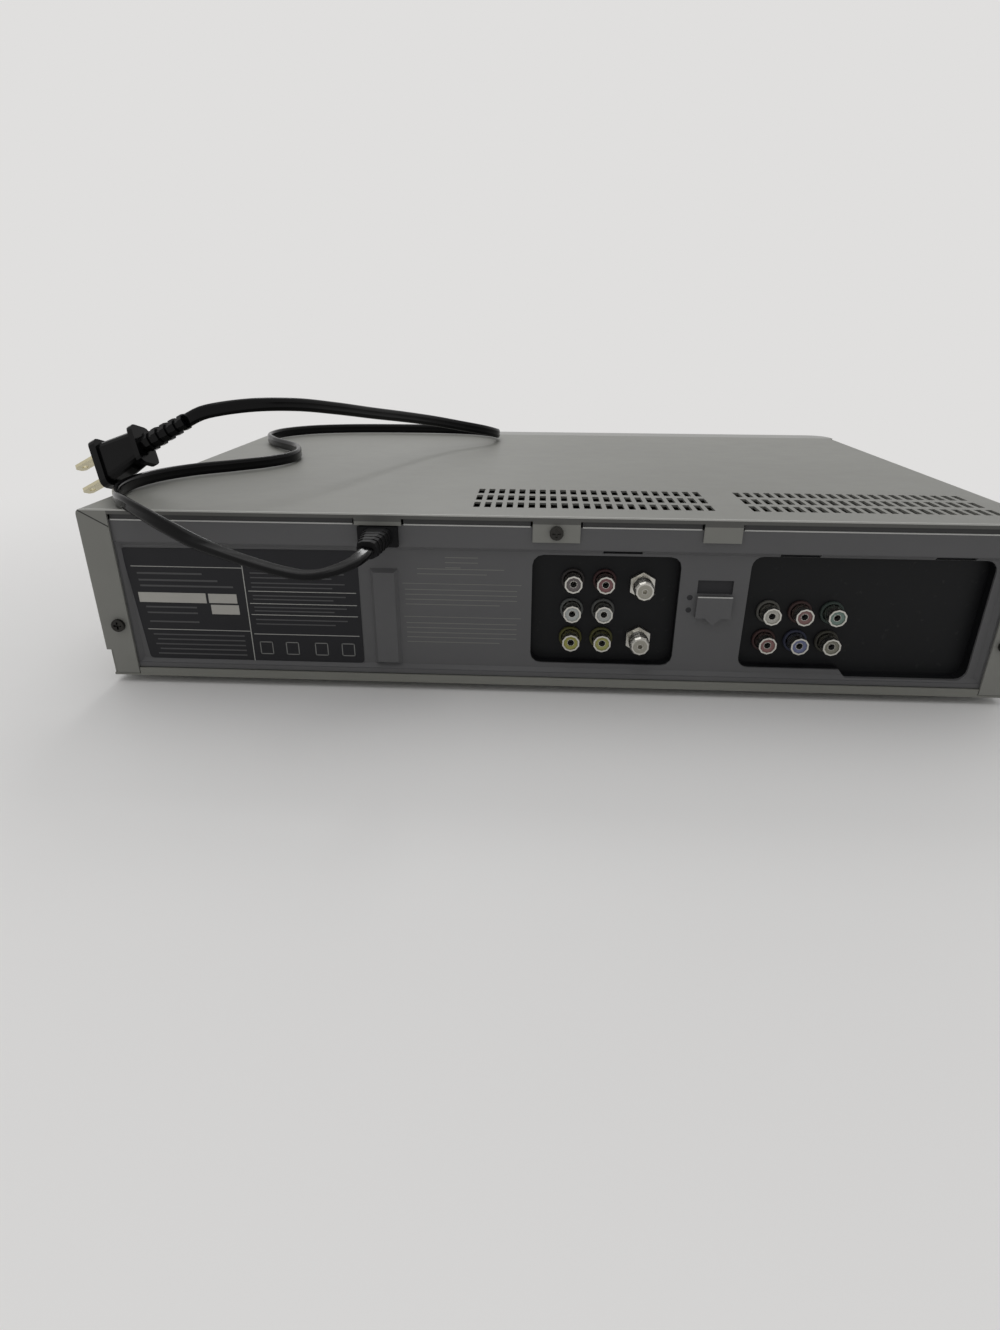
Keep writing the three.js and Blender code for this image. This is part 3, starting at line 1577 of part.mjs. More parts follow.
function discTray() {
  const low = discX - trayHalfWidth;
  const high = discX + trayHalfWidth;
  const plate = prismZ(rounded(low, high, trayFrontY, trayRearY, trayCorner), trayLowZ, trayHighZ);
  const railFoot = trayLowZ - trayRailDepth;
  const railFront = trayFrontY + trayCorner;
  const railRear = trayRearY - trayCorner;
  const rail = (x) => box(x, x + trayRailWidth, railFront, railRear, railFoot, trayLowZ + seam);
  const wellFloor = trayHighZ - discWellDepth;
  const smallWellFloor = wellFloor - smallWellDepth;
  const slotLeft = discX - traySlotHalf;
  const slotRight = discX + traySlotHalf;
  const above = trayHighZ + through;
  const below = trayLowZ - through;
  return cut(
    join(plate, rail(low), rail(high - trayRailWidth), trayRack()),
    rodZ(discX, discCentreY, discWellRadius, wellFloor, above, traySides),
    rodZ(discX, discCentreY, smallWellRadius, smallWellFloor, trayHighZ, traySides),
    rodZ(discX, discCentreY, traySlotHalf, below, above, drumSides),
    box(slotLeft, slotRight, discCentreY, trayRearY + through, below, above),
  );
}

function trayFront() {
  const half = traySlotWidth / 2 - seam;
  const front = -depth - trayFrontProud;
  return prismY(
    rounded(discX - half, discX + half, traySlotLowZ + seam, traySlotHighZ - seam, buttonCorner / 2, 2),
    front,
    front + trayFrontThickness,
  );
}

function gearHub(x, outline) {
  return cut(outline, rodZ(x, gearY, gearPinRadius + seam, 0, height));
}

function driveGear() {
  const towardsRack = Math.PI;
  const gap = Math.PI / driveTeeth;
  const wheel = prismZ(gearOutline(driveX, gearY, wheelTeeth, 0), wheelZ, wheelZ + gearFace);
  const hub = rodZ(driveX, gearY, gearHubRadius, wheelZ, driveGearZ + driveGearFace, turnedSides);
  const teeth = gearOutline(driveX, gearY, driveTeeth, towardsRack + gap);
  const upper = prismZ(teeth, driveGearZ, driveGearZ + driveGearFace);
  return gearHub(driveX, join(wheel, hub, upper));
}

function grooved(x, outer, groove) {
  return turned(x, gearY, [
    [0, pulleyZ],
    [outer, pulleyZ],
    [outer, pulleyZ + pulleyFlange],
    [groove, pulleyZ + pulleyFlange],
    [groove, pulleyZ + pulleyHeight - pulleyFlange],
    [outer, pulleyZ + pulleyHeight - pulleyFlange],
    [outer, pulleyZ + pulleyHeight],
    [0, pulleyZ + pulleyHeight],
  ]);
}

function pulleyGear() {
  const gap = Math.PI + Math.PI / pinionTeeth;
  const pinion = prismZ(gearOutline(pulleyX, gearY, pinionTeeth, gap), wheelZ, pulleyZ + seam);
  return gearHub(pulleyX, join(pinion, grooved(pulleyX, pulleyRadius, pulleyGrooveRadius)));
}

const motorPulley = () =>
  cut(
    grooved(motorX, motorPulleyRadius, motorPulleyGrooveRadius),
    rodZ(motorX, gearY, motorShaftRadius + seam, 0, height),
  );

// The belt: the outer and the inner line of a loop round two pulleys
function beltLine(grow) {
  const big = pulleyGrooveRadius + grow;
  const small = motorPulleyGrooveRadius + grow;
  const lean = Math.acos((big - small) / (motorX - pulleyX));
  const arc = (x, radius, from, to) =>
    Array.from({ length: beltArcSteps + 1 }, (_, i) => {
      const angle = from + ((to - from) * i) / beltArcSteps;
      return [x + radius * Math.cos(angle), gearY + radius * Math.sin(angle)];
    });
  return [...arc(motorX, small, -lean, lean), ...arc(pulleyX, big, lean, 2 * Math.PI - lean)];
}

function trayBelt() {
  const low = pulleyZ + pulleyFlange + seam;
  const high = pulleyZ + pulleyHeight - pulleyFlange - seam;
  return cut(
    prismZ(beltLine(seam + beltThickness), low, high),
    prismZ(beltLine(seam), low - through, high + through),
  );
}

function trayMotor() {
  const top = loaderFloorZ - seam;
  return join(
    rodZ(motorX, gearY, motorRadius, top - motorLength, top, turnedSides),
    rodZ(motorX, gearY, motorShaftRadius, top - seam, pulleyZ + pulleyHeight),
  );
}

// Loader frame: floor with an opening for the traverse, two guide walls, ears, pins and posts
function loaderFrame() {
  const left = discX - loaderHalf;
  const right = discX + loaderHalf;
  const floorTop = loaderFloorZ + loaderFloor;
  const floor = box(left, right, loaderFrontY, loaderRearY, loaderFloorZ, floorTop);
  const rearFoot = loaderRearY - loaderWall;
  const rear = box(left, right, rearFoot, loaderRearY, loaderFloorZ, trayLowZ - trayRailDepth);
  const pins = [
    rodZ(driveX, gearY, gearPinRadius, floorTop - seam, driveGearZ + driveGearFace),
    rodZ(pulleyX, gearY, gearPinRadius, floorTop - seam, pulleyZ + pulleyHeight + seam),
  ];
  const earBore = traverseOpeningHalf + traverseEar + through;
  const opening = box(
    discX - traverseOpeningHalf,
    discX + traverseOpeningHalf,
    traverseFrontY - through,
    traverseAxisY + traverseEarLength / 2,
    loaderFloorZ - through,
    floorTop + through,
  );
  return cut(
    join(cut(join(floor, rear), opening), ...[-1, 1].flatMap(loaderSide), ...pins),
    rodX(traverseAxisY, traverseAxisZ, traversePinRadius + seam, discX - earBore, discX + earBore),
    rodZ(motorX, gearY, motorShaftRadius + seam, loaderFloorZ - through, floorTop + through),
  );
}

// One side of the loader: the wall, the ledge under the tray, the tabs over it, an ear and two posts
function loaderSide(side) {
  const inner = discX + side * loaderHalfWidth;
  const span = (from, to) => [Math.min(from, to), Math.max(from, to)];
  const run = [loaderFrontY, loaderRearY];
  const wall = box(...span(inner, inner + side * loaderWall), ...run, loaderFloorZ, loaderWallTop);
  const ledgeTop = trayLowZ - trayRailDepth - seam;
  const reach = (length) => span(inner - side * length, inner + side * seam);
  const ledge = box(...reach(ledgeWidth), ...run, ledgeTop - ledgeThickness, ledgeTop);
  const tabLow = trayHighZ + seam;
  const tabs = Array.from({ length: guideTabs }, (_, i) => {
    const share = (i + 1 / 2) / guideTabs;
    const front = loaderFrontY + (loaderRearY - loaderFrontY) * share - guideTabLength / 2;
    return box(...reach(guideTabReach), front, front + guideTabLength, tabLow, tabLow + guideTabThickness);
  });
  const earInside = discX + side * traverseOpeningHalf;
  const ear = box(
    ...span(earInside, earInside + side * traverseEar),
    traverseAxisY - traverseEarLength / 2,
    traverseAxisY + traverseEarLength / 2,
    loaderFloorZ,
    traverseEarTop,
  );
  const postX = discX + side * (loaderHalf - loaderPostInset);
  const postTop = loaderFloorZ + loaderFloor - seam;
  const posts = [loaderFrontY + loaderPostInset, loaderRearY - loaderPostInset].map((y) =>
    rodZ(postX, y, loaderPostRadius, chassisTop + seam, postTop),
  );
  return [wall, ledge, ...tabs, ear, ...posts];
}

// Traverse: the lifting plate with its pivot pins, the spindle motor's boss and the two guide rods
function traversePlate() {
  const top = traverseLowZ + traverseSheet;
  const rear = traverseAxisY + traversePinRadius;
  const left = discX - traverseHalfWidth;
  const right = discX + traverseHalfWidth;
  const plate = box(left, right, traverseFrontY, rear, traverseLowZ, top);
  const slot = rectangle(
    discX - traverseSlotHalf,
    discX + traverseSlotHalf,
    discCentreY + spindleBossRadius + traverseHoleMargin,
    traverseSlotRearY,
  );
  const pinEnd = traverseOpeningHalf + traverseEar - seam;
  const hinge = rodX(traverseAxisY, traverseAxisZ, traversePinRadius, discX - pinEnd, discX + pinEnd);
  const boss = rodZ(discX, discCentreY, spindleBossRadius, traverseLowZ, spindleBossTop, turnedSides);
  const rodRear = traverseSlotRearY + guideBlock / 2;
  const rods = [-1, 1].flatMap((side) => {
    const x = discX + side * guideRodOffset;
    const blockTop = guideRodZ + guideRodRadius;
    const stand = (y) => block(x, y, guideBlock, guideBlock, top - seam, blockTop);
    const rod = rodY(x, guideRodZ, guideRodRadius, discCentreY, rodRear);
    return [rod, stand(discCentreY), stand(rodRear)];
  });
  const boreTop = spindleBossTop + through;
  const bore = rodZ(discX, discCentreY, turntableShaftRadius + seam, traverseLowZ - through, boreTop);
  return cut(join(cut(plate, prismZ(slot, 0, height)), hinge, boss, ...rods), bore);
}

function turntable() {
  const top = turntableZ + turntableThickness;
  return turned(discX, discCentreY, [
    [0, turntableZ - turntableShaftLength],
    [turntableShaftRadius, turntableZ - turntableShaftLength],
    [turntableShaftRadius, turntableZ],
    [turntableRadius, turntableZ],
    [turntableRadius, top],
    [turntableConeRadius, top],
    [turntableConeTipRadius, top + turntableConeHeight],
    [0, top + turntableConeHeight],
  ]);
}

function pickupSled() {
  const rear = pickupFirstY + pickupLength;
  const top = pickupLowZ + pickupHeight;
  const middle = (pickupFirstY + rear) / 2;
  const body = block(discX, middle, 2 * pickupHalfWidth, pickupLength, pickupLowZ, top);
  const lens = rodZ(discX, middle, lensRadius, top - seam, top + lensHeight, turnedSides);
  const bores = [-1, 1].map((side) => {
    const x = discX + side * guideRodOffset;
    return rodY(x, guideRodZ, guideRodRadius + seam, pickupFirstY - through, rear + through);
  });
  return cut(join(body, lens), ...bores);
}

function clampBridge() {
  const low = loaderWallTop + seam;
  const top = low + bridgeThickness;
  const edgeTop = top + bridgeEdge;
  const strap = block(discX, discCentreY, 2 * loaderHalf, bridgeLength, low, top);
  const edges = [-1, 1].map((side) => {
    const y = discCentreY + (side * (bridgeLength - bridgeThickness)) / 2;
    return block(discX, y, 2 * loaderHalf, bridgeThickness, low, edgeTop);
  });
  const holeRadius = puckNeckRadius + puckHoleGap;
  const hole = rodZ(discX, discCentreY, holeRadius, low - through, top + through, turnedSides);
  return cut(join(strap, ...edges), hole);
}

function clampPuck() {
  const shoulder = puckLowZ + puckThickness;
  const cap = shoulder + puckNeckLength;
  const recess = puckLowZ + puckRecessDepth;
  return turned(discX, discCentreY, [
    [0, recess],
    [puckRecessRadius, recess],
    [puckRecessRadius, puckLowZ],
    [puckRadius, puckLowZ],
    [puckRadius, shoulder],
    [puckNeckRadius, shoulder],
    [puckNeckRadius, cap],
    [puckCapRadius, cap],
    [puckCapRadius, cap + puckCapThickness],
    [0, cap + puckCapThickness],
  ]);
}

// Circuit boards on their stand-offs
function board(lowX, highX, frontY, rearY) {
  const posts = [lowX + boardPostInset, highX - boardPostInset].flatMap((x) =>
    [frontY + boardPostInset, rearY - boardPostInset].map((y) =>
      rodZ(x, y, boardPostRadius, chassisTop + seam, boardZ + boardThickness / 2),
    ),
  );
  return join(box(lowX, highX, frontY, rearY, boardZ, boardZ + boardThickness), ...posts);
}

function mainBoard() {
  const top = boardZ + boardThickness;
  const chips = Array.from({ length: chipCount }, (_, i) => {
    const x = mainBoardLowX + chipInset + i * chipPitch;
    return block(x, mainBoardFrontY + chipSetBack, chipWidth, chipLength, top - seam, top + chipHeight);
  });
  return join(board(mainBoardLowX, mainBoardHighX, mainBoardFrontY, boardRearY), ...chips);
}

// The power parts stand in one row along the board
function powerBoard() {
  const low = boardZ + boardThickness / 2;
  const top = boardZ + boardThickness;
  const y = (powerBoardFrontY + boardRearY) / 2;
  const coreTop = top + transformerHeight;
  const transformer = block(transformerX, y, transformerWidth, transformerLength, low, coreTop);
  const reservoir = rodZ(reservoirX, y, reservoirRadius, low, top + reservoirHeight, turnedSides);
  const fins = Array.from({ length: heatSinkFins }, (_, i) => {
    const finY = y + (i - (heatSinkFins - 1) / 2) * heatSinkPitch;
    return block(heatSinkX, finY, heatSinkLength, heatSinkFin, low, top + heatSinkHeight);
  });
  const base = block(heatSinkX, y, heatSinkLength, heatSinkFins * heatSinkPitch, low, top + heatSinkFin);
  return join(
    board(powerBoardLowX, powerBoardHighX, powerBoardFrontY, boardRearY),
    transformer,
    reservoir,
    base,
    ...fins,
  );
}

// Strain relief: a clip behind the panel, a shoulder on its face and a ribbed taper round the lead
function strainRelief() {
  const x = cordX;
  const half = reliefWidth / 2;
  const low = cordZ - reliefHeight / 2;
  const high = cordZ + reliefHeight / 2;
  const behind = panelFace - panelSheet - seam;
  const face = panelFace + seam;
  const shoulder = (rear, front, base) =>
    box(x - half - reliefShoulder, x + half + reliefShoulder, rear, front, base, high + seam);
  const neck = box(x - half, x + half, behind - seam, face + seam, low, high);
  const section = (sizeX, sizeZ) =>
    rounded(x - sizeX / 2, x + sizeX / 2, cordZ - sizeZ / 2, cordZ + sizeZ / 2, reliefCorner, 2);
  const root = section(reliefTaperWidth, reliefHeight);
  const tip = section(reliefTipWidth, reliefTipHeight);
  const taper = loftY(tip, reliefReach, root, face);
  const pitch = (reliefReach - reliefFlangeReach) / (reliefRibs + 1);
  const ribs = Array.from({ length: reliefRibs }, (_, i) => {
    const share = (i + 1) / (reliefRibs + 1);
    const y = reliefFlangeReach + pitch * (i + 1);
    const sizeX = reliefTaperWidth + (reliefTipWidth - reliefTaperWidth) * share + reliefRibHeight;
    const rib = section(sizeX, reliefTipHeight + reliefRibHeight);
    return prismY(rib, y - reliefRibWidth / 2, y + reliefRibWidth / 2);
  });
  const clip = shoulder(behind - reliefInside, behind, low);
  const collar = shoulder(face, reliefFlangeReach, low - reliefShoulder + seam);
  return join(clip, neck, collar, taper, ...ribs);
}

const cordPoints = [
  ...cordStart.map(([x, y, z]) => new THREE.Vector3(cordX + x, reliefReach + y, cordZ + z)),
  ...cordRoute.map(([inset, y, rise]) => new THREE.Vector3(coverHalf - inset, y, height + rise)),
];

function powerCord() {
  const section = new THREE.Shape(ring(0, 0, cordRadius, cordSides).map(([x, y]) => new THREE.Vector2(x, y)));
  const extrudePath = new THREE.CatmullRomCurve3(cordPoints);
  return new THREE.ExtrudeGeometry(section, { steps: cordSteps, extrudePath });
}

// Plug, drawn with its face at y = 0 and its blades towards +Y
const plugSection = (sizeX, sizeZ) =>
  rounded(-sizeX / 2, sizeX / 2, -sizeZ / 2, sizeZ / 2, plugCorner);

function plugBody() {
  const gripEnd = -plugFlangeDepth - plugBodyLength;
  const ridgeEnd = gripEnd - plugRidgeDepth;
  const flange = prismY(plugSection(plugFlangeWidth, plugFlangeHeight), -plugFlangeDepth, 0);
  const grip = loftY(
    plugSection(plugBodyWidth, plugBodyHeight),
    -plugFlangeDepth / 2,
    plugSection(plugTailWidth, plugTailHeight),
    gripEnd - plugRidgeDepth / 2,
  );
  const ridge = prismY(plugSection(plugRidgeWidth, plugRidgeHeight), ridgeEnd, gripEnd);
  const slots = [-1, 1].map((side) => {
    const z = (side * bladePitch) / 2;
    const half = bladeThickness / 2 + seam;
    const wide = bladeWidth / 2 + seam;
    return box(-wide, wide, -bladeRoot - seam, through, z - half, z + half);
  });
  return cut(join(flange, grip, ridge, plugBoot(ridgeEnd)), ...slots);
}

// The flexible boot narrows towards the lead and is grooved all round
function plugBoot(startY) {
  const pitch = plugBootLength / plugBootRibs;
  const radiusAt = (share) => plugBootRadius + (plugBootTipRadius - plugBootRadius) * share;
  const points = [[0, startY - plugBootLength]];
  for (let rib = plugBootRibs; rib > 0; rib -= 1) {
    const y = startY - pitch * rib;
    const radius = radiusAt(rib / plugBootRibs);
    points.push([radius, y], [radius, y + pitch / 2]);
    points.push([radius - plugBootGroove, y + pitch / 2], [radius - plugBootGroove, y + pitch]);
  }
  const root = startY + plugRidgeDepth / 2;
  points.push([plugBootRadius, startY], [plugBootRadius, root], [0, root]);
  return turnedY(0, 0, points, smallSides);
}

function plugBlade(side) {
  const z = (side * bladePitch) / 2;
  const half = bladeWidth / 2;
  const tip = bladeLength;
  const outline = [
    [-half, -bladeRoot],
    [half, -bladeRoot],
    [half, tip - bladeThickness],
    [half - bladeThickness, tip],
    [-half + bladeThickness, tip],
    [-half, tip - bladeThickness],
  ];
  const blade = prismZ(outline, z - bladeThickness / 2, z + bladeThickness / 2);
  return cut(blade, rodZ(0, tip - bladeHoleBack, bladeHoleRadius, z - bladeThickness, z + bladeThickness));
}

// Materials: one kind of surface each
const surface = (color, roughness, metalness) => () =>
  new THREE.MeshStandardMaterial({ color, roughness, metalness, flatShading: true });
const paintedSteel = surface(0x8d8d88, 0.5, 0.2);
const panelSteel = surface(0x4a4a49, 0.6, 0.2);
const plainSteel = surface(0x9da0a2, 0.4, 0.9);
const brightMetal = surface(0xc9c6bb, 0.25, 1);
const nickelMetal = surface(0xc8c3a2, 0.3, 1);
const drumMetal = surface(0xb9bcbf, 0.3, 0.9);
const frontPlastic = surface(0x9a9c9e, 0.45, 0.1);
const keyPlastic = surface(0x85888b, 0.4, 0.1);
const darkPlastic = surface(0x141517, 0.5, 0);
const framePlastic = surface(0x2b2c2e, 0.6, 0);
const gearPlastic = surface(0xe6e3d8, 0.5, 0);
const glossPlastic = surface(0x0c0d0f, 0.12, 0);
const softRubber = surface(0x1c1c1d, 0.85, 0);
const cordVinyl = surface(0x121214, 0.35, 0);
const boardLaminate = surface(0x7a6a3a, 0.6, 0);

// The assembly: each entry is one separate piece
const casing = {
  bottom_chassis: [bottomChassis(), plainSteel],
  top_cover: [topCover(), paintedSteel],
  rear_panel: [rearPanel(), panelSteel],
  front_bezel: [frontBezel(), frontPlastic],
  display_window: [displayWindow(), glossPlastic],
  foot_front_left: [foot(frontFootX, frontFootY), softRubber],
  foot_front_right: [foot(-frontFootX, frontFootY), softRubber],
  foot_rear_left: [foot(rearFootX, rearFootY), softRubber],
  foot_rear_right: [foot(-rearFootX, rearFootY), softRubber],
  cover_screw_left: [coverScrew(...rearScrewPlaces[0]), brightMetal],
  cover_screw_right: [coverScrew(...rearScrewPlaces[1]), brightMetal],
  cover_screw_centre: [coverScrew(...rearScrewPlaces[2]), brightMetal],
};

const connections = {
  av_jack_block: [avJackBlock(), darkPlastic],
  av_jack_shells: [jackShells(avJacks), brightMetal],
  dvd_jack_block: [jackBlock(discWindow, discJacks), darkPlastic],
  dvd_jack_shells: [jackShells(discJacks), brightMetal],
  f_connector_in: [aerialConnector(...aerialPlaces[0]), brightMetal],
  f_connector_out: [aerialConnector(...aerialPlaces[1]), brightMetal],
  tuner_box: [tunerBox(), plainSteel],
  strain_relief: [strainRelief(), softRubber],
};

const electronics = {
  main_board: [mainBoard(), boardLaminate],
  power_board: [powerBoard(), boardLaminate],
  front_board: [frontBoard(), boardLaminate],
};

const cassetteDeck = {
  cassette_door: [cassetteDoor(), frontPlastic],
  deck_plate: [deckPlate(), plainSteel],
  holder_carriage: [holderCarriage(), plainSteel],
  cassette_holder: [cassetteHolder(), plainSteel],
  drum_base: [drumBase(), drumMetal],
  drum_head: [drumHead(), drumMetal],
  supply_reel: [reel(-1), framePlastic],
  take_up_reel: [reel(1), framePlastic],
  capstan: [capstan(), drumMetal],
  pinch_arm: [pinchArm(), plainSteel],
  pinch_roller: [pinchRoller(), softRubber],
  loading_motor: [loadingMotor(), plainSteel],
};

const discLoader = {
  loader_frame: [loaderFrame(), framePlastic],
  disc_tray: [discTray(), framePlastic],
  tray_front: [trayFront(), frontPlastic],
  drive_gear: [driveGear(), gearPlastic],
  pulley_gear: [pulleyGear(), gearPlastic],
  motor_pulley: [motorPulley(), gearPlastic],
  tray_belt: [trayBelt(), softRubber],
  tray_motor: [trayMotor(), plainSteel],
  traverse_plate: [traversePlate(), plainSteel],
  turntable: [turntable(), framePlastic],
  pickup_sled: [pickupSled(), drumMetal],
  clamp_bridge: [clampBridge(), plainSteel],
  clamp_puck: [clampPuck(), framePlastic],
};

const keys = Object.fromEntries(
  Object.entries(keyPlaces).map(([name, place]) => [name, [transportButton(place), keyPlastic]]),
);
keys.power_button = [powerButton(), keyPlastic];
keys.open_close_button = [trayButton(), keyPlastic];

const plugPieces = {
  plug_body: [plugBody(), cordVinyl],
  plug_blade_upper: [plugBlade(1), nickelMetal],
  plug_blade_lower: [plugBlade(-1), nickelMetal],
};

function addPiece(group, name, geometry, material) {
  const mesh = new THREE.Mesh(geometry, material());
  mesh.name = name;
  group.add(mesh);
}

function addPieces(group, pieces) {
  for (const [name, [body, material]] of Object.entries(pieces)) {
    addPiece(group, name, geometryOf(body), material);
  }
}

const player = new THREE.Group();
addPieces(player, { ...casing, ...connections, ...electronics, ...cassetteDeck, ...discLoader, ...keys });
addPiece(player, "power_cord", powerCord(), cordVinyl);

// The plug lies with the tip of its boot at the end of the lead
const plug = new THREE.Group();
addPieces(plug, plugPieces);
plug.rotation.set(plugPitch * degree, plugRoll * degree, plugYaw * degree, "ZXY");
const plugLength = plugFlangeDepth + plugBodyLength + plugRidgeDepth + plugBootLength;
const alongPlug = new THREE.Vector3(0, 1, 0).applyEuler(plug.rotation);
plug.position.copy(cordPoints.at(-1)).addScaledVector(alongPlug, plugLength + seam);
player.add(plug);

// Centre the rigid pieces front to back: the buttons reach furthest forward, the aerial plugs furthest back
player.position.y = (depth + buttonProud - aerialReach) / 2;

const part = new THREE.Group();
part.add(player);
export default part;
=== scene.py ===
"""A disc player and cassette recorder seen from behind, with its lead laid on the cover.

Lengths are in millimetres unless a comment says otherwise: x from the middle of the case, y from the rear
face of the cover and z from the table.
"""

import json
import math

import bmesh
import bpy
from mathutils import Matrix, Vector


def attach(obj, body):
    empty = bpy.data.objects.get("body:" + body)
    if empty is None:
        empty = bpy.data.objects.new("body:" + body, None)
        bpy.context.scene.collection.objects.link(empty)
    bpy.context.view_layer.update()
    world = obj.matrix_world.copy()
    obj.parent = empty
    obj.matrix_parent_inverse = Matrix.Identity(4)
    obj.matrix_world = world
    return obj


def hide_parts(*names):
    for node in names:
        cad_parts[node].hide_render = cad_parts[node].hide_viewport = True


MM = 0.001  # metres
MERGE = 1e-6  # metres between points that become one

# Faces of the case
REAR = 145.35  # the cover's rear face in the frame's own y
COVER_TOP = 86
COVER_HALF = 215
PANEL = -1.3  # the rear panel's own face
FIELD = -3.3  # its inset face
JACK_PLATE = -9.3
FRONT = -292  # the face of the bezel

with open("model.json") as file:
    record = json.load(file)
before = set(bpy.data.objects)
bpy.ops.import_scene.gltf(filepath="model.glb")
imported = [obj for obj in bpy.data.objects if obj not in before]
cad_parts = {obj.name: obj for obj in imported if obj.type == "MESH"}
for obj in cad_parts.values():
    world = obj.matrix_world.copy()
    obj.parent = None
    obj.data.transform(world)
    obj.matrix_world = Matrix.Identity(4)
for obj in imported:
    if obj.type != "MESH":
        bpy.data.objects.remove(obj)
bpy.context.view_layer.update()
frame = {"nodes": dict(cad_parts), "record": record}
nodes = frame["nodes"]


def at(x, y, z):
    """A point of the frame, in metres, from millimetres."""
    return Vector((x, y + REAR, z)) * MM


# Camera, fitted to the photograph, with its angles in radians
YAW, PITCH, ROLL = -0.048, 0.426, 0.006
CAMERA_PLACE = (8.126, 320.65, 160.149)
FOCAL_PIXELS = 739.447
PICTURE_PIXELS = 1330  # the longer side
SENSOR = 36
NEAREST = 10


def add_camera():
    cy, sy = math.cos(YAW), math.sin(YAW)
    cp, sp = math.cos(PITCH), math.sin(PITCH)
    cr, sr = math.cos(ROLL), math.sin(ROLL)
    facing = Matrix(((-1, 0, 0), (0, 0, 1), (0, -1, 0)))
    turn = Matrix(((cy, 0, -sy), (0, 1, 0), (sy, 0, cy)))
    nod = Matrix(((1, 0, 0), (0, cp, sp), (0, -sp, cp)))
    lean = Matrix(((cr, sr, 0), (-sr, cr, 0), (0, 0, 1)))
    right, up, ahead = lean @ nod @ turn @ facing
    place = Matrix((right, up, -ahead)).transposed().to_4x4()
    place.translation = at(*CAMERA_PLACE)
    data = bpy.data.cameras.new("camera")
    data.lens = FOCAL_PIXELS * SENSOR / PICTURE_PIXELS
    data.sensor_width = SENSOR
    data.clip_start = NEAREST * MM
    camera = bpy.data.objects.new("camera", data)
    camera.matrix_world = place
    bpy.context.scene.collection.objects.link(camera)
    bpy.context.scene.camera = camera


# Meshes
TURNED_SIDES = 40
TURNED_ANGLE = 30  # degrees between faces whose edge is rounded on a turned piece
EDGE_ANGLE = 35  # the same on any other piece
TURNED_RADIUS = 0.15
BOX_FACES = ((0, 1, 2, 3), (7, 6, 5, 4), (0, 4, 5, 1), (1, 5, 6, 2), (2, 6, 7, 3), (3, 7, 4, 0))


def mesh_from(name, points, faces, smooth=False):
    mesh = bpy.data.meshes.new(name)
    mesh.from_pydata([tuple(p) for p in points], [], faces)
    mesh.update()
    bm = bmesh.new()
    bm.from_mesh(mesh)
    bmesh.ops.remove_doubles(bm, verts=bm.verts, dist=MERGE)
    bmesh.ops.recalc_face_normals(bm, faces=bm.faces)
    bm.to_mesh(mesh)
    bm.free()
    for polygon in mesh.polygons:
        polygon.use_smooth = smooth
    obj = bpy.data.objects.new(name, mesh)
    bpy.context.scene.collection.objects.link(obj)
    return obj


def bevel(obj, width, angle=EDGE_ANGLE):
    modifier = obj.modifiers.new("edges", "BEVEL")
    modifier.width = width * MM
    modifier.segments = 2
    modifier.limit_method = "ANGLE"
    modifier.angle_limit = math.radians(angle)
    return obj


def finish(obj, paint, body):
    """Paints a piece and fixes it to its body."""
    obj.data.materials.append(paint)
    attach(obj, body)
    return obj


def turned(name, profile, x, z, sides=TURNED_SIDES):
    """A ring turned about an axis along Y through (x, z), from a closed profile of (radius, y)."""
    count = len(profile)
    points, faces = [], []
    for side in range(sides):
        angle = 2 * math.pi * side / sides
        for radius, y in profile:
            points.append(at(x + radius * math.cos(angle), y, z + radius * math.sin(angle)))
    for side in range(sides):
        after = (side + 1) % sides
        for i in range(count):
            j = (i + 1) % count
            faces.append((side * count + i, side * count + j, after * count + j, after * count + i))
    return bevel(mesh_from(name, points, faces, smooth=True), TURNED_RADIUS, TURNED_ANGLE)


def blocks(name, cells, y, thickness, paint):
    """Thin blocks in one piece on the case, from (x, x, z, z), with their outer faces at y."""
    points, faces = [], []
    for x0, x1, z0, z1 in cells:
        base = len(points)
        for depth in (y, y - thickness):
            points.extend(at(x, depth, z) for x, z in ((x0, z0), (x1, z0), (x1, z1), (x0, z1)))
        faces.extend(tuple(base + i for i in face) for face in BOX_FACES)
    return finish(mesh_from(name, points, faces), paint, "case")


def rounded_plate(name, corners, radius, y, thickness, steps=6):
    """A thin plate with round corners, from its four corners (x, z) in turn."""
    outline = []
    for i, corner in enumerate(corners):
        corner = Vector(corner)
        before = (Vector(corners[i - 1]) - corner).normalized() * radius
        after = (Vector(corners[(i + 1) % len(corners)]) - corner).normalized() * radius
        for step in range(steps + 1):
            t = step / steps
            outline.append(corner + before * (1 - t) ** 2 + after * t ** 2)
    count = len(outline)
    points = [at(x, y, z) for x, z in outline] + [at(x, y - thickness, z) for x, z in outline]
    faces = [tuple(range(count)), tuple(reversed(range(count, 2 * count)))]
    faces += [(i, (i + 1) % count, count + (i + 1) % count, count + i) for i in range(count)]
    return mesh_from(name, points, faces)


def flat_shapes(name, shapes, x, z, y, thickness, paint, body, slot):
    """Thin prisms facing the front in one piece, from outlines of (right, up) about the point (x, z)."""
    points, faces = [], []
    for shape in shapes:
        base, count = len(points), len(shape)
        for depth in (y, y + thickness):
            points.extend(at(x + right, depth, z + up) for right, up in shape)
        faces.append(tuple(base + i for i in range(count)))
        faces.append(tuple(base + count + i for i in reversed(range(count))))
        for i in range(count):
            j = (i + 1) % count
            faces.append((base + i, base + j, base + count + j, base + count + i))
    return finish(mesh_from(name, points, faces), paint, body)


# Shader nodes
def material(name):
    made = bpy.data.materials.new(name)
    made.use_nodes = True
    tree = made.node_tree
    return made, tree, tree.nodes["Principled BSDF"]


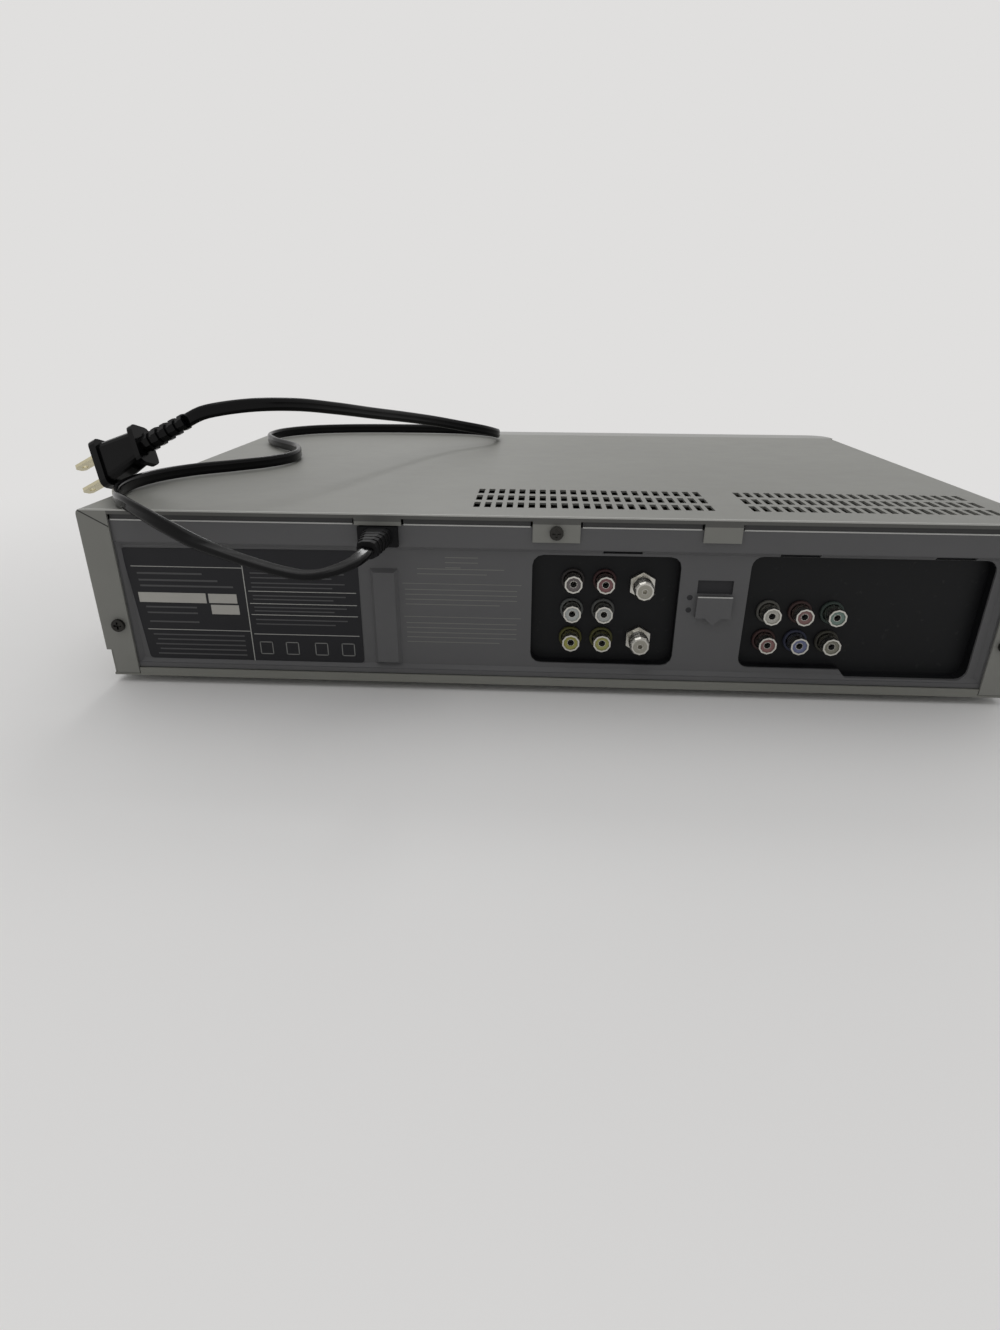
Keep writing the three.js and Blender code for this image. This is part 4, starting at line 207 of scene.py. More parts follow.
def node(tree, kind, **values):
    made = tree.nodes.new(kind)
    for name, value in values.items():
        if hasattr(made, name):
            setattr(made, name, value)
        else:
            made.inputs[name.replace("_", " ")].default_value = value
    return made


def ramp(tree, source, low, high, start, end):
    """Runs from low to high while the source runs from start to end."""
    mapped = node(tree, "ShaderNodeMapRange", From_Min=start, From_Max=end, To_Min=low, To_Max=high)
    tree.links.new(source, mapped.inputs["Value"])
    return mapped.outputs["Result"]


def mix(tree, factor, first, second):
    made = node(tree, "ShaderNodeMix", data_type="RGBA")
    tree.links.new(factor, made.inputs[0])
    for socket, value in ((made.inputs[6], first), (made.inputs[7], second)):
        if isinstance(value, tuple):
            socket.default_value = value
        else:
            tree.links.new(value, socket)
    return made.outputs[2]


def noise(tree, scale, detail, roughness=0.6, stretch=None):
    coordinates = node(tree, "ShaderNodeTexCoord").outputs["Object"]
    if stretch:
        mapping = node(tree, "ShaderNodeMapping", Scale=stretch)
        tree.links.new(coordinates, mapping.inputs["Vector"])
        coordinates = mapping.outputs["Vector"]
    made = node(tree, "ShaderNodeTexNoise", Scale=scale, Detail=detail, Roughness=roughness)
    tree.links.new(coordinates, made.inputs["Vector"])
    return made.outputs["Fac"]


def bump(tree, shader, height, strength, distance):
    made = node(tree, "ShaderNodeBump", Strength=strength, Distance=distance * MM)
    tree.links.new(height, made.inputs["Height"])
    tree.links.new(made.outputs["Normal"], shader.inputs["Normal"])


def math_node(tree, operation, first, second=0.0, third=0.0):
    made = node(tree, "ShaderNodeMath", operation=operation)
    for socket, value in zip(made.inputs, (first, second, third)):
        if isinstance(value, float):
            socket.default_value = value
        else:
            tree.links.new(value, socket)
    return made.outputs[0]


def mixed_shaders(tree, factor, first, second, surface):
    choose = node(tree, "ShaderNodeMixShader")
    for socket, source in zip(choose.inputs, (factor, first, second)):
        tree.links.new(source, socket)
    tree.links.new(choose.outputs[0], surface)


def srgb(r, g, b):
    def linear(v):
        v /= 255
        return v / 12.92 if v <= 0.04045 else ((v + 0.055) / 1.055) ** 2.4

    return (linear(r), linear(g), linear(b), 1.0)


def scaled(color, share):
    return (color[0] * share, color[1] * share, color[2] * share, 1.0)


# Materials
PLASTIC_SHINE = 0.22  # the specular level of paint and mouldings
DUST = srgb(150, 148, 142)
SEAM_START = (COVER_HALF, COVER_TOP)  # a mitre seam runs from here, in x and z
SEAM_END = (201, 78)  # to here, on each side
SEAM_HALF = 0.35
REAR_SKIN = 0.3  # how deep the paint of the rear face reaches
# A painted highlight along the cover's rear fold, and painted shade on the lip below it
FOLD_LOW, FOLD_DEPTH, FOLD_HIGHLIGHT_SHARE = 85.35, 0.75, 0.9
LIP_LOW, LIP_SHADE_SHARE = 82.5, 0.85


def clouded(tree, clouds, color, wear):
    """A colour that turns a little darker and lighter with the clouds."""
    share = ramp(tree, clouds, 0.0, 1.0, start=0.35, end=0.65)
    return mix(tree, share, scaled(color, 1 - wear), scaled(color, 1 + wear))


def uneven(tree, shader, source, roughness, less, more):
    """Lets the roughness wander about its value."""
    wandering = ramp(tree, source, roughness - less, roughness + more, start=0.3, end=0.7)
    tree.links.new(wandering, shader.inputs["Roughness"])


def painted(name, color, roughness, wear):
    """Paint on sheet steel: a fine grain, slow clouds of tone and small scuffs."""
    made, tree, shader = material(name)
    clouds = noise(tree, scale=9.0, detail=5.0)
    scuffs = noise(tree, scale=60.0, detail=6.0, roughness=0.7, stretch=(1.0, 1.6, 1.0))
    grain = noise(tree, scale=2600.0, detail=2.0)
    rubbed = ramp(tree, scuffs, 0.0, 0.25, start=0.64, end=0.8)
    tone = mix(tree, rubbed, clouded(tree, clouds, color, wear), scaled(color, 1 + 3 * wear))
    tree.links.new(tone, shader.inputs["Base Color"])
    uneven(tree, shader, scuffs, roughness, less=0.015, more=0.03)
    shader.inputs["Specular IOR Level"].default_value = PLASTIC_SHINE
    bump(tree, shader, grain, strength=0.12, distance=0.04)
    return made


def metal(name, color, roughness, brushed=(1.0, 1.0, 1.0), wear=0.1):
    """Bare or plated metal, with fine lines where it was rolled or turned."""
    made, tree, shader = material(name)
    lines = noise(tree, scale=300.0, detail=3.0, stretch=brushed)
    stain = noise(tree, scale=40.0, detail=4.0)
    stained = ramp(tree, stain, 0.0, 1.0, start=0.35, end=0.7)
    tree.links.new(mix(tree, stained, color, scaled(color, 1 - 2 * wear)), shader.inputs["Base Color"])
    uneven(tree, shader, lines, roughness, less=0.08, more=0.12)
    shader.inputs["Metallic"].default_value = 1.0
    bump(tree, shader, lines, strength=0.15, distance=0.03)
    return made


def moulded(name, color, roughness, grain=0.2, grain_scale=1800.0, wear=0.08):
    """Moulded plastic: a spark-eroded grain, a slow change of tone and a little dust."""
    made, tree, shader = material(name)
    clouds = noise(tree, scale=14.0, detail=4.0)
    dust = noise(tree, scale=220.0, detail=5.0, roughness=0.7)
    fine = noise(tree, grain_scale, detail=2.0)
    dusty = ramp(tree, dust, 0.0, 0.05, start=0.6, end=0.75)
    tree.links.new(mix(tree, dusty, clouded(tree, clouds, color, wear), DUST), shader.inputs["Base Color"])
    uneven(tree, shader, clouds, roughness, less=0.04, more=0.06)
    shader.inputs["Specular IOR Level"].default_value = PLASTIC_SHINE
    bump(tree, shader, fine, grain, distance=0.04)
    return made


def rubber(name, color, roughness, shine=0.15, wear=0.12):
    """Soft vinyl or rubber: nearly smooth, with bloom and faint extrusion marks."""
    made, tree, shader = material(name)
    bloom = noise(tree, scale=55.0, detail=5.0)
    marks = noise(tree, scale=900.0, detail=2.0)
    bloomed = ramp(tree, bloom, 0.0, 1.0, start=0.4, end=0.7)
    tree.links.new(mix(tree, bloomed, color, scaled(color, 1 + 3 * wear)), shader.inputs["Base Color"])
    uneven(tree, shader, bloom, roughness, less=0.05, more=0.12)
    shader.inputs["Specular IOR Level"].default_value = shine
    bump(tree, shader, marks, strength=0.08, distance=0.05)
    return made


def glass(name):
    """A dark, polished pane with smears."""
    made, tree, shader = material(name)
    smear = noise(tree, scale=30.0, detail=5.0)
    tree.links.new(mix(tree, smear, srgb(9, 10, 13), srgb(16, 17, 20)), shader.inputs["Base Color"])
    tree.links.new(ramp(tree, smear, 0.05, 0.16, start=0.35, end=0.7), shader.inputs["Roughness"])
    shader.inputs["Specular IOR Level"].default_value = 0.3
    shader.inputs["Coat Weight"].default_value = 0.1
    return made


def cover_paint():
    """The cover's paint: mitre seams at the upper rear corners, a painted highlight along the fold and
    painted shade on the lip below it.
    """
    made = painted("cover_paint", srgb(134, 134, 129), 0.42, wear=0.035)
    tree = made.node_tree
    base = tree.nodes["Principled BSDF"].inputs["Base Color"]
    paint = base.links[0].from_socket
    place = node(tree, "ShaderNodeSeparateXYZ")
    tree.links.new(node(tree, "ShaderNodeTexCoord").outputs["Object"], place.inputs["Vector"])
    across = math_node(tree, "ABSOLUTE", place.outputs["X"])
    backwards, height = place.outputs["Y"], place.outputs["Z"]

    def above(value, limit):
        return math_node(tree, "GREATER_THAN", value, limit * MM)

    def both(first, second):
        return math_node(tree, "MULTIPLY", first, second)

    slope = (SEAM_START[1] - SEAM_END[1]) / (SEAM_START[0] - SEAM_END[0])
    line = math_node(tree, "MULTIPLY_ADD", across, slope, (SEAM_START[1] - SEAM_START[0] * slope) * MM)
    off = math_node(tree, "ABSOLUTE", math_node(tree, "SUBTRACT", height, line))
    near = math_node(tree, "LESS_THAN", off, SEAM_HALF * MM)
    rear = above(backwards, REAR - REAR_SKIN)
    outside = above(across, SEAM_END[0])
    inside = math_node(tree, "SUBTRACT", 1.0, outside)
    seam = both(both(near, outside), rear)
    lip = both(both(rear, inside), above(height, LIP_LOW))
    fold = both(above(height, FOLD_LOW), above(backwards, REAR - FOLD_DEPTH))
    # Painted shade on the rear lip, then a painted highlight along the fold above it
    tone = mix(tree, both(lip, LIP_SHADE_SHARE), paint, srgb(84, 84, 82))
    tone = mix(tree, both(fold, FOLD_HIGHLIGHT_SHARE), tone, srgb(196, 196, 191))
    tree.links.new(mix(tree, seam, tone, srgb(52, 52, 50)), base)
    return made


MATERIALS = {
    "cover_paint": cover_paint(),
    "panel_paint": painted("panel_paint", srgb(97, 97, 98), 0.5, wear=0.04),
    "chassis_paint": painted("chassis_paint", srgb(130, 130, 124), 0.45, wear=0.05),
    "sheet_steel": metal("sheet_steel", srgb(168, 170, 172), 0.36, (1.0, 14.0, 1.0)),
    "bright_metal": metal("bright_metal", srgb(205, 203, 196), 0.24, (1.0, 6.0, 1.0), 0.05),
    "screw_metal": metal("screw_metal", srgb(58, 57, 55), 0.35),
    "blade_metal": metal("blade_metal", srgb(214, 206, 176), 0.22, (1.0, 8.0, 1.0), 0.08),
    "drum_metal": metal("drum_metal", srgb(190, 193, 196), 0.28, (1.0, 1.0, 12.0)),
    "front_plastic": moulded("front_plastic", srgb(160, 160, 157), 0.4, wear=0.025),
    "key_plastic": moulded("key_plastic", srgb(176, 176, 173), 0.34, wear=0.03),
    "jack_plastic": moulded("jack_plastic", srgb(16, 17, 19), 0.5, 0.25, 1400.0),
    "frame_plastic": moulded("frame_plastic", srgb(38, 39, 41), 0.55),
    "gear_plastic": moulded("gear_plastic", srgb(226, 222, 208), 0.4, 0.1),
    "window_plastic": glass("window_plastic"),
    "soft_rubber": rubber("soft_rubber", srgb(19, 19, 20), 0.5),
    "cord_vinyl": rubber("cord_vinyl", srgb(8, 8, 9), 0.16, 0.14),
    "board": moulded("board", srgb(122, 104, 58), 0.5),
}

# Solids of the frame
FINER_FINISH = {
    "bottom_chassis": "chassis_paint",
    "cover_screw_left": "screw_metal",
    "cover_screw_right": "screw_metal",
    "cover_screw_centre": "screw_metal",
}
EDGE_RADII = {
    "top_cover": 0.25,
    "rear_panel": 0.5,
    "bottom_chassis": 0.3,
    "front_bezel": 0.5,
    "cassette_door": 0.4,
    "tray_front": 0.5,
    "av_jack_block": 0.3,
    "dvd_jack_block": 0.3,
    "strain_relief": 0.4,
    "disc_tray": 0.4,
    "loader_frame": 0.3,
    "plug_blade_upper": 0.25,
    "plug_blade_lower": 0.25,
    "cover_screw_left": 0.3,
    "cover_screw_right": 0.3,
    "cover_screw_centre": 0.3,
}
KEY_RADIUS = 0.4
FOOT_RADIUS = 0.6


def dress_nodes():
    """Each node takes the finish of its slot in the record, or a finer one."""
    slots = {part["node"]: part["material_slot"] for part in frame["record"]["subparts"]}
    for name, obj in nodes.items():
        obj.data.materials.clear()
        obj.data.materials.append(MATERIALS[FINER_FINISH.get(name, slots[name])])


def round_edges():
    """Small radii on the edges of sheet metal and mouldings."""
    for name, radius in EDGE_RADII.items():
        bevel(nodes[name], radius)
    for name, obj in nodes.items():
        if name.endswith("_button"):
            bevel(obj, KEY_RADIUS)
        if name.startswith("foot_"):
            bevel(obj, FOOT_RADIUS)


# The lead
CORD_WIDTH = 6.5
CORD_HALF_THICKNESS = 1.8
CORD_SIDES = 20
CORD_FLATNESS = 0.75  # a power under 1 makes the oval's broad sides flatter
WAIST_SHARE = 0.22  # of the thickness that is lost between the conductors
WAIST_HALF = 0.9
CORD_STEP = 3.0
LEAD_TWIST = math.radians(80)  # at the strain relief
TWIST_ENDS = (60, 125)  # along the lead, where the twist begins to fade and is gone
CORD_ROUTE = [
    (78.3, 24.1, 76), (78.4, 28, 75.9), (80.6, 34.6, 74.6), (88, 39.8, 72.2), (100, 40, 70),
    (146, 25, 77), (161, 20, 82), (175, 14, 87), (188, 5, 89.9), (199.5, -9, 89.7),
    (207, -26, 89.7), (209.5, -45, 89.7), (205.5, -64, 89.7), (194.5, -82, 89.7), (178, -96.5, 89.7),
    (163, -112, 89.7), (155, -132, 89.7), (162, -161, 89.7), (188, -194, 89.7), (198, -216, 89.7),
    (196, -240, 89.7), (181, -259, 89.7), (158, -269, 89.7), (132, -273, 89.7), (80, -273, 89.7),
    (58, -268, 89.7), (41, -254, 89.9), (38, -238, 91.4), (46, -222, 95.4), (61, -209, 99.6),
    (77, -190, 104.6), (92, -163, 109.8), (106, -132, 115), (119, -102, 120.2), (133, -76, 124.3),
    (148, -58, 125.6), (162, -50, 124.4), (171.5, -48.4, 122.4), (179.85, -49.3, 118.7),
]


def spline(points, step):
    """Centripetal Catmull-Rom through the points, resampled about every step."""
    points = [Vector(p) for p in points]
    padded = [2 * points[0] - points[1], *points, 2 * points[-1] - points[-2]]
    fine = []
    for p0, p1, p2, p3 in zip(padded, padded[1:], padded[2:], padded[3:]):
        t1 = math.sqrt((p1 - p0).length)
        t2 = t1 + math.sqrt((p2 - p1).length)
        t3 = t2 + math.sqrt((p3 - p2).length)
        count = max(2, round((p2 - p1).length / step))
        for i in range(count):
            t = t1 + (t2 - t1) * i / count
            a1 = p0 * ((t1 - t) / t1) + p1 * (t / t1)
            a2 = p1 * ((t2 - t) / (t2 - t1)) + p2 * ((t - t1) / (t2 - t1))
            a3 = p2 * ((t3 - t) / (t3 - t2)) + p3 * ((t - t2) / (t3 - t2))
            b1 = a1 * ((t2 - t) / t2) + a2 * (t / t2)
            b2 = a2 * ((t3 - t) / (t3 - t1)) + a3 * ((t - t1) / (t3 - t1))
            fine.append(b1 * ((t2 - t) / (t2 - t1)) + b2 * ((t - t1) / (t2 - t1)))
    fine.append(points[-1])
    return fine


def cord_section():
    """Two moulded conductors side by side: a waisted oval standing on its edge."""
    outline = []
    for i in range(CORD_SIDES):
        angle = 2 * math.pi * i / CORD_SIDES
        tall = CORD_WIDTH / 2 * math.sin(angle)
        waist = 1 - WAIST_SHARE * math.exp(-((tall / WAIST_HALF) ** 2))
        flat = math.copysign(abs(math.cos(angle)) ** CORD_FLATNESS, math.cos(angle))
        outline.append((CORD_HALF_THICKNESS * flat * waist, tall))
    return outline


def twist(run):
    """The lead's turn about itself, which fades smoothly along its run."""
    share = (run - TWIST_ENDS[0]) / (TWIST_ENDS[1] - TWIST_ENDS[0])
    share = min(max(share, 0.0), 1.0)
    return LEAD_TWIST * (1 - share * share * (3 - 2 * share))


def cord_mesh(line):
    """The flat lead lies on its side at the relief and stands on its edge where it reaches the cover."""
    outline = cord_section()
    points, faces = [], []
    run = 0.0
    for i, place in enumerate(line):
        run += (place - line[max(i - 1, 0)]).length
        ahead = (line[min(i + 1, len(line) - 1)] - line[max(i - 1, 0)]).normalized()
        tall = (Vector((0, 0, 1)) - ahead * ahead.z).normalized()
        tall.rotate(Matrix.Rotation(twist(run), 3, ahead))
        wide = ahead.cross(tall)
        points.extend(at(*(place + wide * across + tall * up)) for across, up in outline)
    count = len(outline)
    for i in range(len(line) - 1):
        for j in range(count):
            k = (j + 1) % count
            faces.append((i * count + j, i * count + k, (i + 1) * count + k, (i + 1) * count + j))
    last = (len(line) - 1) * count
    faces.append(tuple(range(count)))
    faces.append(tuple(last + j for j in range(count)))
    return mesh_from("lead", points, faces, smooth=True)


def add_cord():
    line = spline(CORD_ROUTE, CORD_STEP)
    lead = finish(cord_mesh(line), MATERIALS["cord_vinyl"], "case")
    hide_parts("power_cord")


# Rating plate, which lies on the panel's inset face
PLATE_CORNERS = ((89.3, 68.2), (199.4, 67.6), (195.4, 12.4), (89.5, 12.4))
PLATE_ROUND = 2.0
PLATE_FACE = FIELD + 0.35
PLATE_THICKNESS = 0.3
PLATE_EDGE_RADIUS = 0.1
PLATE_INK = FIELD + 0.4  # the face of what is printed on it
INK_THICKNESS = 0.1
UPRIGHT_X, UPRIGHT_HALF, UPRIGHT_Z = 143.4, 0.2, (12.2, 66.5)
RULE = 0.32
OUTER_RULES = (58.8, 27.4)  # z
INNER_RULES = (47.7, 41.6, 36.0, 26.1)
INNER_EDGE = 91.0
RULE_MARGIN, UPRIGHT_MARGIN = 2.6, 1.4
PLATE_CELLS = ((162.8, 195.2, 41.3, 46.2), (148.0, 161.6, 41.5, 46.1), (147.6, 161.0, 35.9, 40.6))
BAR_MARGIN, BAR_SHORTER = 4.6, 1.5
FOOT_BARS = (24.6, 22.1, 19.6, 17.1, 14.6)  # z of the outer column's lowest bars
FOOT_BAR_GAP, FOOT_BAR = 3.5, 0.7
HEAD_BARS = ((163, 55.2), (156, 51.9), (149, 49.1))  # x and z
HEAD_BAR = 0.9
SIDE_BARS = (38.6, 35.7, 31.2)  # z
SIDE_BAR_X, SIDE_BAR = 168, 0.8
INNER_BARS = (56.4, 54.2, 51.6, 49.6, 45.4, 43.6, 39.6, 37.8, 33.4, 31.2)  # z
INNER_BAR_X, INNER_BAR_STEP, INNER_BAR_MARGIN, INNER_BAR = 96, 6, 3.2, 0.6
BAR_THICKNESS = 0.08
FRAME_X = (133.5, 120.8, 106.6, 93.6)
FRAME_WIDTH, FRAME_Z, FRAME_LINE = 6.4, (15.8, 22.4), 0.45
FRAME_THICKNESS = 0.09


def plate_side(z):
    """Where the plate's slanted outer side lies at a height."""
    low, high = PLATE_CORNERS[2], PLATE_CORNERS[1]
    return low[0] + (high[0] - low[0]) * (z - low[1]) / (high[1] - low[1])


def print_on_plate(name, cells, color, wear, thickness=INK_THICKNESS):
    ink = painted("plate_" + name, color, 0.5, wear)
    blocks("rating_" + name, cells, PLATE_INK, thickness, ink)


def plate_rules():
    rules = [(UPRIGHT_X - UPRIGHT_HALF, UPRIGHT_X + UPRIGHT_HALF, *UPRIGHT_Z)]
    rules += [(UPRIGHT_X, plate_side(z) - RULE_MARGIN, z, z + RULE) for z in OUTER_RULES]
    rules += [(INNER_EDGE, UPRIGHT_X - UPRIGHT_MARGIN, z, z + RULE) for z in INNER_RULES]
    return rules


def plate_bars():
    """Dim bars where such a plate has its small print."""
    bars = []
    for i, z in enumerate(FOOT_BARS):
        end = plate_side(z) - BAR_MARGIN - i % 2 * BAR_SHORTER
        bars.append((UPRIGHT_X + FOOT_BAR_GAP, end, z, z + FOOT_BAR))
    bars += [(x, plate_side(z) - BAR_MARGIN, z, z + HEAD_BAR) for x, z in HEAD_BARS]
    bars += [(SIDE_BAR_X, plate_side(z) - BAR_MARGIN, z, z + SIDE_BAR) for z in SIDE_BARS]
    for i, z in enumerate(INNER_BARS):
        start = INNER_BAR_X + INNER_BAR_STEP * (i % 2)
        bars.append((start, UPRIGHT_X - INNER_BAR_MARGIN, z, z + INNER_BAR))
    return bars


def plate_frames():
    """Empty square frames where such a plate has its marks."""
    low, high = FRAME_Z
    cells = []
    for left in FRAME_X:
        right = left + FRAME_WIDTH
        cells += [(left, right, low, low + FRAME_LINE), (left, right, high - FRAME_LINE, high)]
        cells += [(left, left + FRAME_LINE, low, high), (right - FRAME_LINE, right, low, high)]
    return cells


def add_rating_plate():
    plate = rounded_plate("rating_plate", PLATE_CORNERS, PLATE_ROUND, PLATE_FACE, PLATE_THICKNESS)
    finish(plate, painted("plate_ink", srgb(36, 36, 39), 0.4, wear=0.05), "case")
    bevel(plate, PLATE_EDGE_RADIUS)
    print_on_plate("rules", plate_rules(), srgb(176, 176, 172), 0.05)
    print_on_plate("cells", PLATE_CELLS, srgb(182, 180, 174), 0.04)
    print_on_plate("bars", plate_bars(), srgb(84, 84, 85), 0.05, BAR_THICKNESS)
    print_on_plate("frames", plate_frames(), srgb(128, 128, 126), 0.05, FRAME_THICKNESS)


# Plain rules in groups beside it, where such a case carries its small print
PRINT_GROUPS = ((66.0, (34, 49), 3), (60.5, (22, 62), 2), (50.5, (16, 68), 4), (34.0, (16, 68), 5))
PRINT_PITCH, PRINT_LINE, LAST_LINE_SHORTER = 2.4, 0.35, 8
PRINT_FACE, PRINT_THICKNESS = FIELD + 0.04, 0.05
DIVIDERS = ((14, 69, 53.1, 53.4), (14, 69, 36.8, 37.1))
DIVIDER_FACE, DIVIDER_THICKNESS = FIELD + 0.05, 0.06


def add_fine_rules():
    ink = painted("small_rules", srgb(124, 124, 120), 0.5, wear=0.05)
    cells = []
    for top, (low, high), count in PRINT_GROUPS:
        for i in range(count):
            start = low + (LAST_LINE_SHORTER if i == count - 1 else 0)
            z = top - PRINT_PITCH * i
            cells.append((start, high, z - PRINT_LINE, z))
    blocks("panel_rules", cells, PRINT_FACE, PRINT_THICKNESS, ink)
    blocks("panel_dividers", DIVIDERS, DIVIDER_FACE, DIVIDER_THICKNESS, ink)


# Jacks: x, z and the colour of the insert, with profiles of radius and y
JACKS = {
    "av_1": (-9.6, 54.9, (112, 106, 106)), "av_2": (-24.2, 54.9, (128, 92, 94)),
    "av_3": (-9.6, 40.6, (176, 180, 178)), "av_4": (-24.2, 40.6, (168, 170, 168)),
    "av_5": (-9.6, 26.3, (158, 156, 84)), "av_6": (-24.2, 26.3, (158, 158, 96)),
    "dvd_1": (-100.5, 41.6, (182, 180, 172)), "dvd_2": (-115.1, 41.6, (134, 104, 102)),
    "dvd_3": (-129.7, 41.6, (122, 142, 134)), "dvd_4": (-100.5, 27.3, (136, 102, 100)),
    "dvd_5": (-115.1, 27.3, (112, 118, 150)), "dvd_6": (-129.7, 27.3, (132, 130, 118)),
}
JACK_TIP = JACK_PLATE + 8.8
COLLAR = ((4.35, 0.2), (5.45, 0.2), (5.45, 1.35), (5.2, 1.7), (4.35, 1.7))  # y from the jack plate
INSERT = ((1.65, -2.2), (3.35, -2.2), (3.35, -0.55), (1.9, -0.55), (1.65, -0.8))  # y from the tip
CONTACT = ((0.55, -3.4), (1.5, -3.4), (1.5, -1.7), (0.55, -2.1))
# The collar's colour is its insert's, darkened as painted shade for the recess it sits in
COLLAR_SHADE_SHARE = 0.22  # of the insert's brightness
RING_GRAIN = 1200.0
AERIAL_X = -41.5
AERIAL_Z = {"upper": 53.3, "lower": 26.6}
AERIAL_CORE = ((1.25, 1.6), (3.4, 1.6), (3.4, 2.52), (1.25, 2.52))


def moved(profile, y):
    return [(radius, y + depth) for radius, depth in profile]


def add_jack_rings():
    """In each jack: a collar in its insert's colour darkened as painted shade, a coloured insert, and a
    contact painted as dark as the shade in its hole.
    """
    # The contact is painted dark as the shade in the jack's centre hole
    hole_shade = moulded("jack_centre", srgb(8, 8, 9), 0.6, 0.1, RING_GRAIN)
    for name, (x, z, values) in JACKS.items():
        color = srgb(*values)
        tinted = moulded("insert_" + name, color, 0.4, 0.08, RING_GRAIN)
        painted_shade = moulded("collar_" + name, scaled(color, COLLAR_SHADE_SHARE), 0.5, 0.1, RING_GRAIN)
        rings = (
            ("collar_", COLLAR, JACK_PLATE, painted_shade),
            ("insert_", INSERT, JACK_TIP, tinted),
            ("contact_", CONTACT, JACK_TIP, hole_shade),
        )
        for kind, profile, y, paint in rings:
            finish(turned(kind + name, moved(profile, y), x, z), paint, "case")


def add_aerial_cores():
    """The pale insulator in the mouth of each aerial connector."""
    pale = moulded("aerial_core", srgb(166, 163, 152), 0.35, 0.05)
    for name, z in AERIAL_Z.items():
        finish(turned("aerial_core_" + name, AERIAL_CORE, AERIAL_X, z), pale, "case")


# Panel trim: a painted highlight on the upper edge and the latch's lip, painted shade on the rebate above
# the edge, in the hollow over the latch and in the two dimples
EDGE_SPANS = ((-200.4, -82.6), (-64.4, -12.4), (10.4, 66.9), (89.7, 200.4))  # x, between the cover's tabs
EDGE_Z, EDGE_FACE, EDGE_THICKNESS = (80.75, 81.4), PANEL + 0.25, 0.6
EDGE_RADIUS = 0.2
REBATE_Z, REBATE_FACE = (81.0, 84.4), PANEL - 0.15
TRIM_THICKNESS = 0.5
LATCH_X, LATCH_HALF = -73.8, 7.9
HOLLOW_Z, HOLLOW_MARGIN, HOLLOW_FACE = (50.4, 58.1), 0.6, FIELD - 1.05
LATCH_LIP_Z, LATCH_LIP_FACE, LATCH_LIP_RADIUS = (49.95, 50.5), FIELD + 2.6, 0.15
DIMPLE_X = -62.8
DIMPLE_Z = {"upper": 49.2, "lower": 43.2}
DIMPLE = ((0, -0.2), (1.5, -0.2), (1.35, 0.03), (0, 0.03))  # y from the inset face
DIMPLE_SIDES = 24


def add_panel_trim():
    # The edge and the latch's lip carry a painted highlight; the rebate, the hollow and the dimples carry
    # painted shade
    highlight_paint = painted("edge_highlight", srgb(196, 196, 193), 0.35, wear=0.04)
    painted_shade = painted("rebate_shade", srgb(70, 70, 70), 0.6, wear=0.05)
    shade = painted("hollow_shade", srgb(52, 52, 54), 0.6, wear=0.06)
    edge = [(*span, *EDGE_Z) for span in EDGE_SPANS]
    bevel(blocks("panel_edge", edge, EDGE_FACE, EDGE_THICKNESS, highlight_paint), EDGE_RADIUS)
    rebate = [(*span, *REBATE_Z) for span in EDGE_SPANS]
    blocks("panel_rebate", rebate, REBATE_FACE, TRIM_THICKNESS, painted_shade)
    low, high = LATCH_X - LATCH_HALF, LATCH_X + LATCH_HALF
    hollow = [(low - HOLLOW_MARGIN, high + HOLLOW_MARGIN, *HOLLOW_Z)]
    blocks("latch_hollow", hollow, HOLLOW_FACE, TRIM_THICKNESS, shade)
    lip = [(low, high, *LATCH_LIP_Z)]
    bevel(blocks("latch_lip", lip, LATCH_LIP_FACE, TRIM_THICKNESS, highlight_paint), LATCH_LIP_RADIUS)
    for name, z in DIMPLE_Z.items():
        dimple = turned("dimple_" + name, moved(DIMPLE, FIELD), DIMPLE_X, z, DIMPLE_SIDES)
        finish(dimple, shade, "case")


# Front: signs on the keys, from outlines of (right, up) about the middle of each key
KEY_Z = 26
KEYS = {"stop": -44, "forward": -72, "play": -100, "rewind": -128, "eject": -156}  # x
POWER_X = -194
OPEN_CLOSE = (40, 32)
SIGN_FACE = FRONT - 1.25
SIGN_THICKNESS = 0.12
STOP_HALF = 1.35
ARROW_REACH, ARROW_HALF = 2.5, 1.5
ARROW_STARTS = (2.6, -0.1)  # right of the middle for the two arrows that point left
PLAY_START, PLAY_REACH, PLAY_HALF = -1.3, 3.0, 1.8
EJECT_HALF, EJECT_LOW = 1.9, -0.6
OPEN_HALF, OPEN_LOW = 1.6, -0.3
RISE_SHARE = 1.2  # a rising arrow's height in half widths
RISE_BAR = (-1.1, -0.5)  # the bar under it, from its foot
POWER_STROKE = (-0.22, 0.22, 0.6, 3.0)
POWER_RING = (2.0, 2.45)
RING_START, RING_SWEEP, RING_STEPS = 37, 250, 14  # degrees


def arrow(start, reach, half):
    """A triangle that points right, or left where the reach is negative."""
    return [(start, -half), (start + reach, 0), (start, half)]


def bar(left, right, low, high):
    return [(left, low), (right, low), (right, high), (left, high)]


def rise(half, low):
    """A triangle that points up, over a bar."""
    foot, top = RISE_BAR
    triangle = [(-half, low), (half, low), (0, low + half * RISE_SHARE)]
    return [triangle, bar(-half, half, low + foot, low + top)]


def power_sign():
    """An upright stroke in an open ring."""
    shapes = [bar(*POWER_STROKE)]
    inner, outer = POWER_RING
    for i in range(RING_STEPS):
        first = math.radians(RING_START - i * RING_SWEEP / RING_STEPS)
        second = math.radians(RING_START - (i + 1) * RING_SWEEP / RING_STEPS)
        corners = ((inner, first), (outer, first), (outer, second), (inner, second))
        shapes.append([(radius * math.cos(angle), radius * math.sin(angle)) for radius, angle in corners])
    return shapes


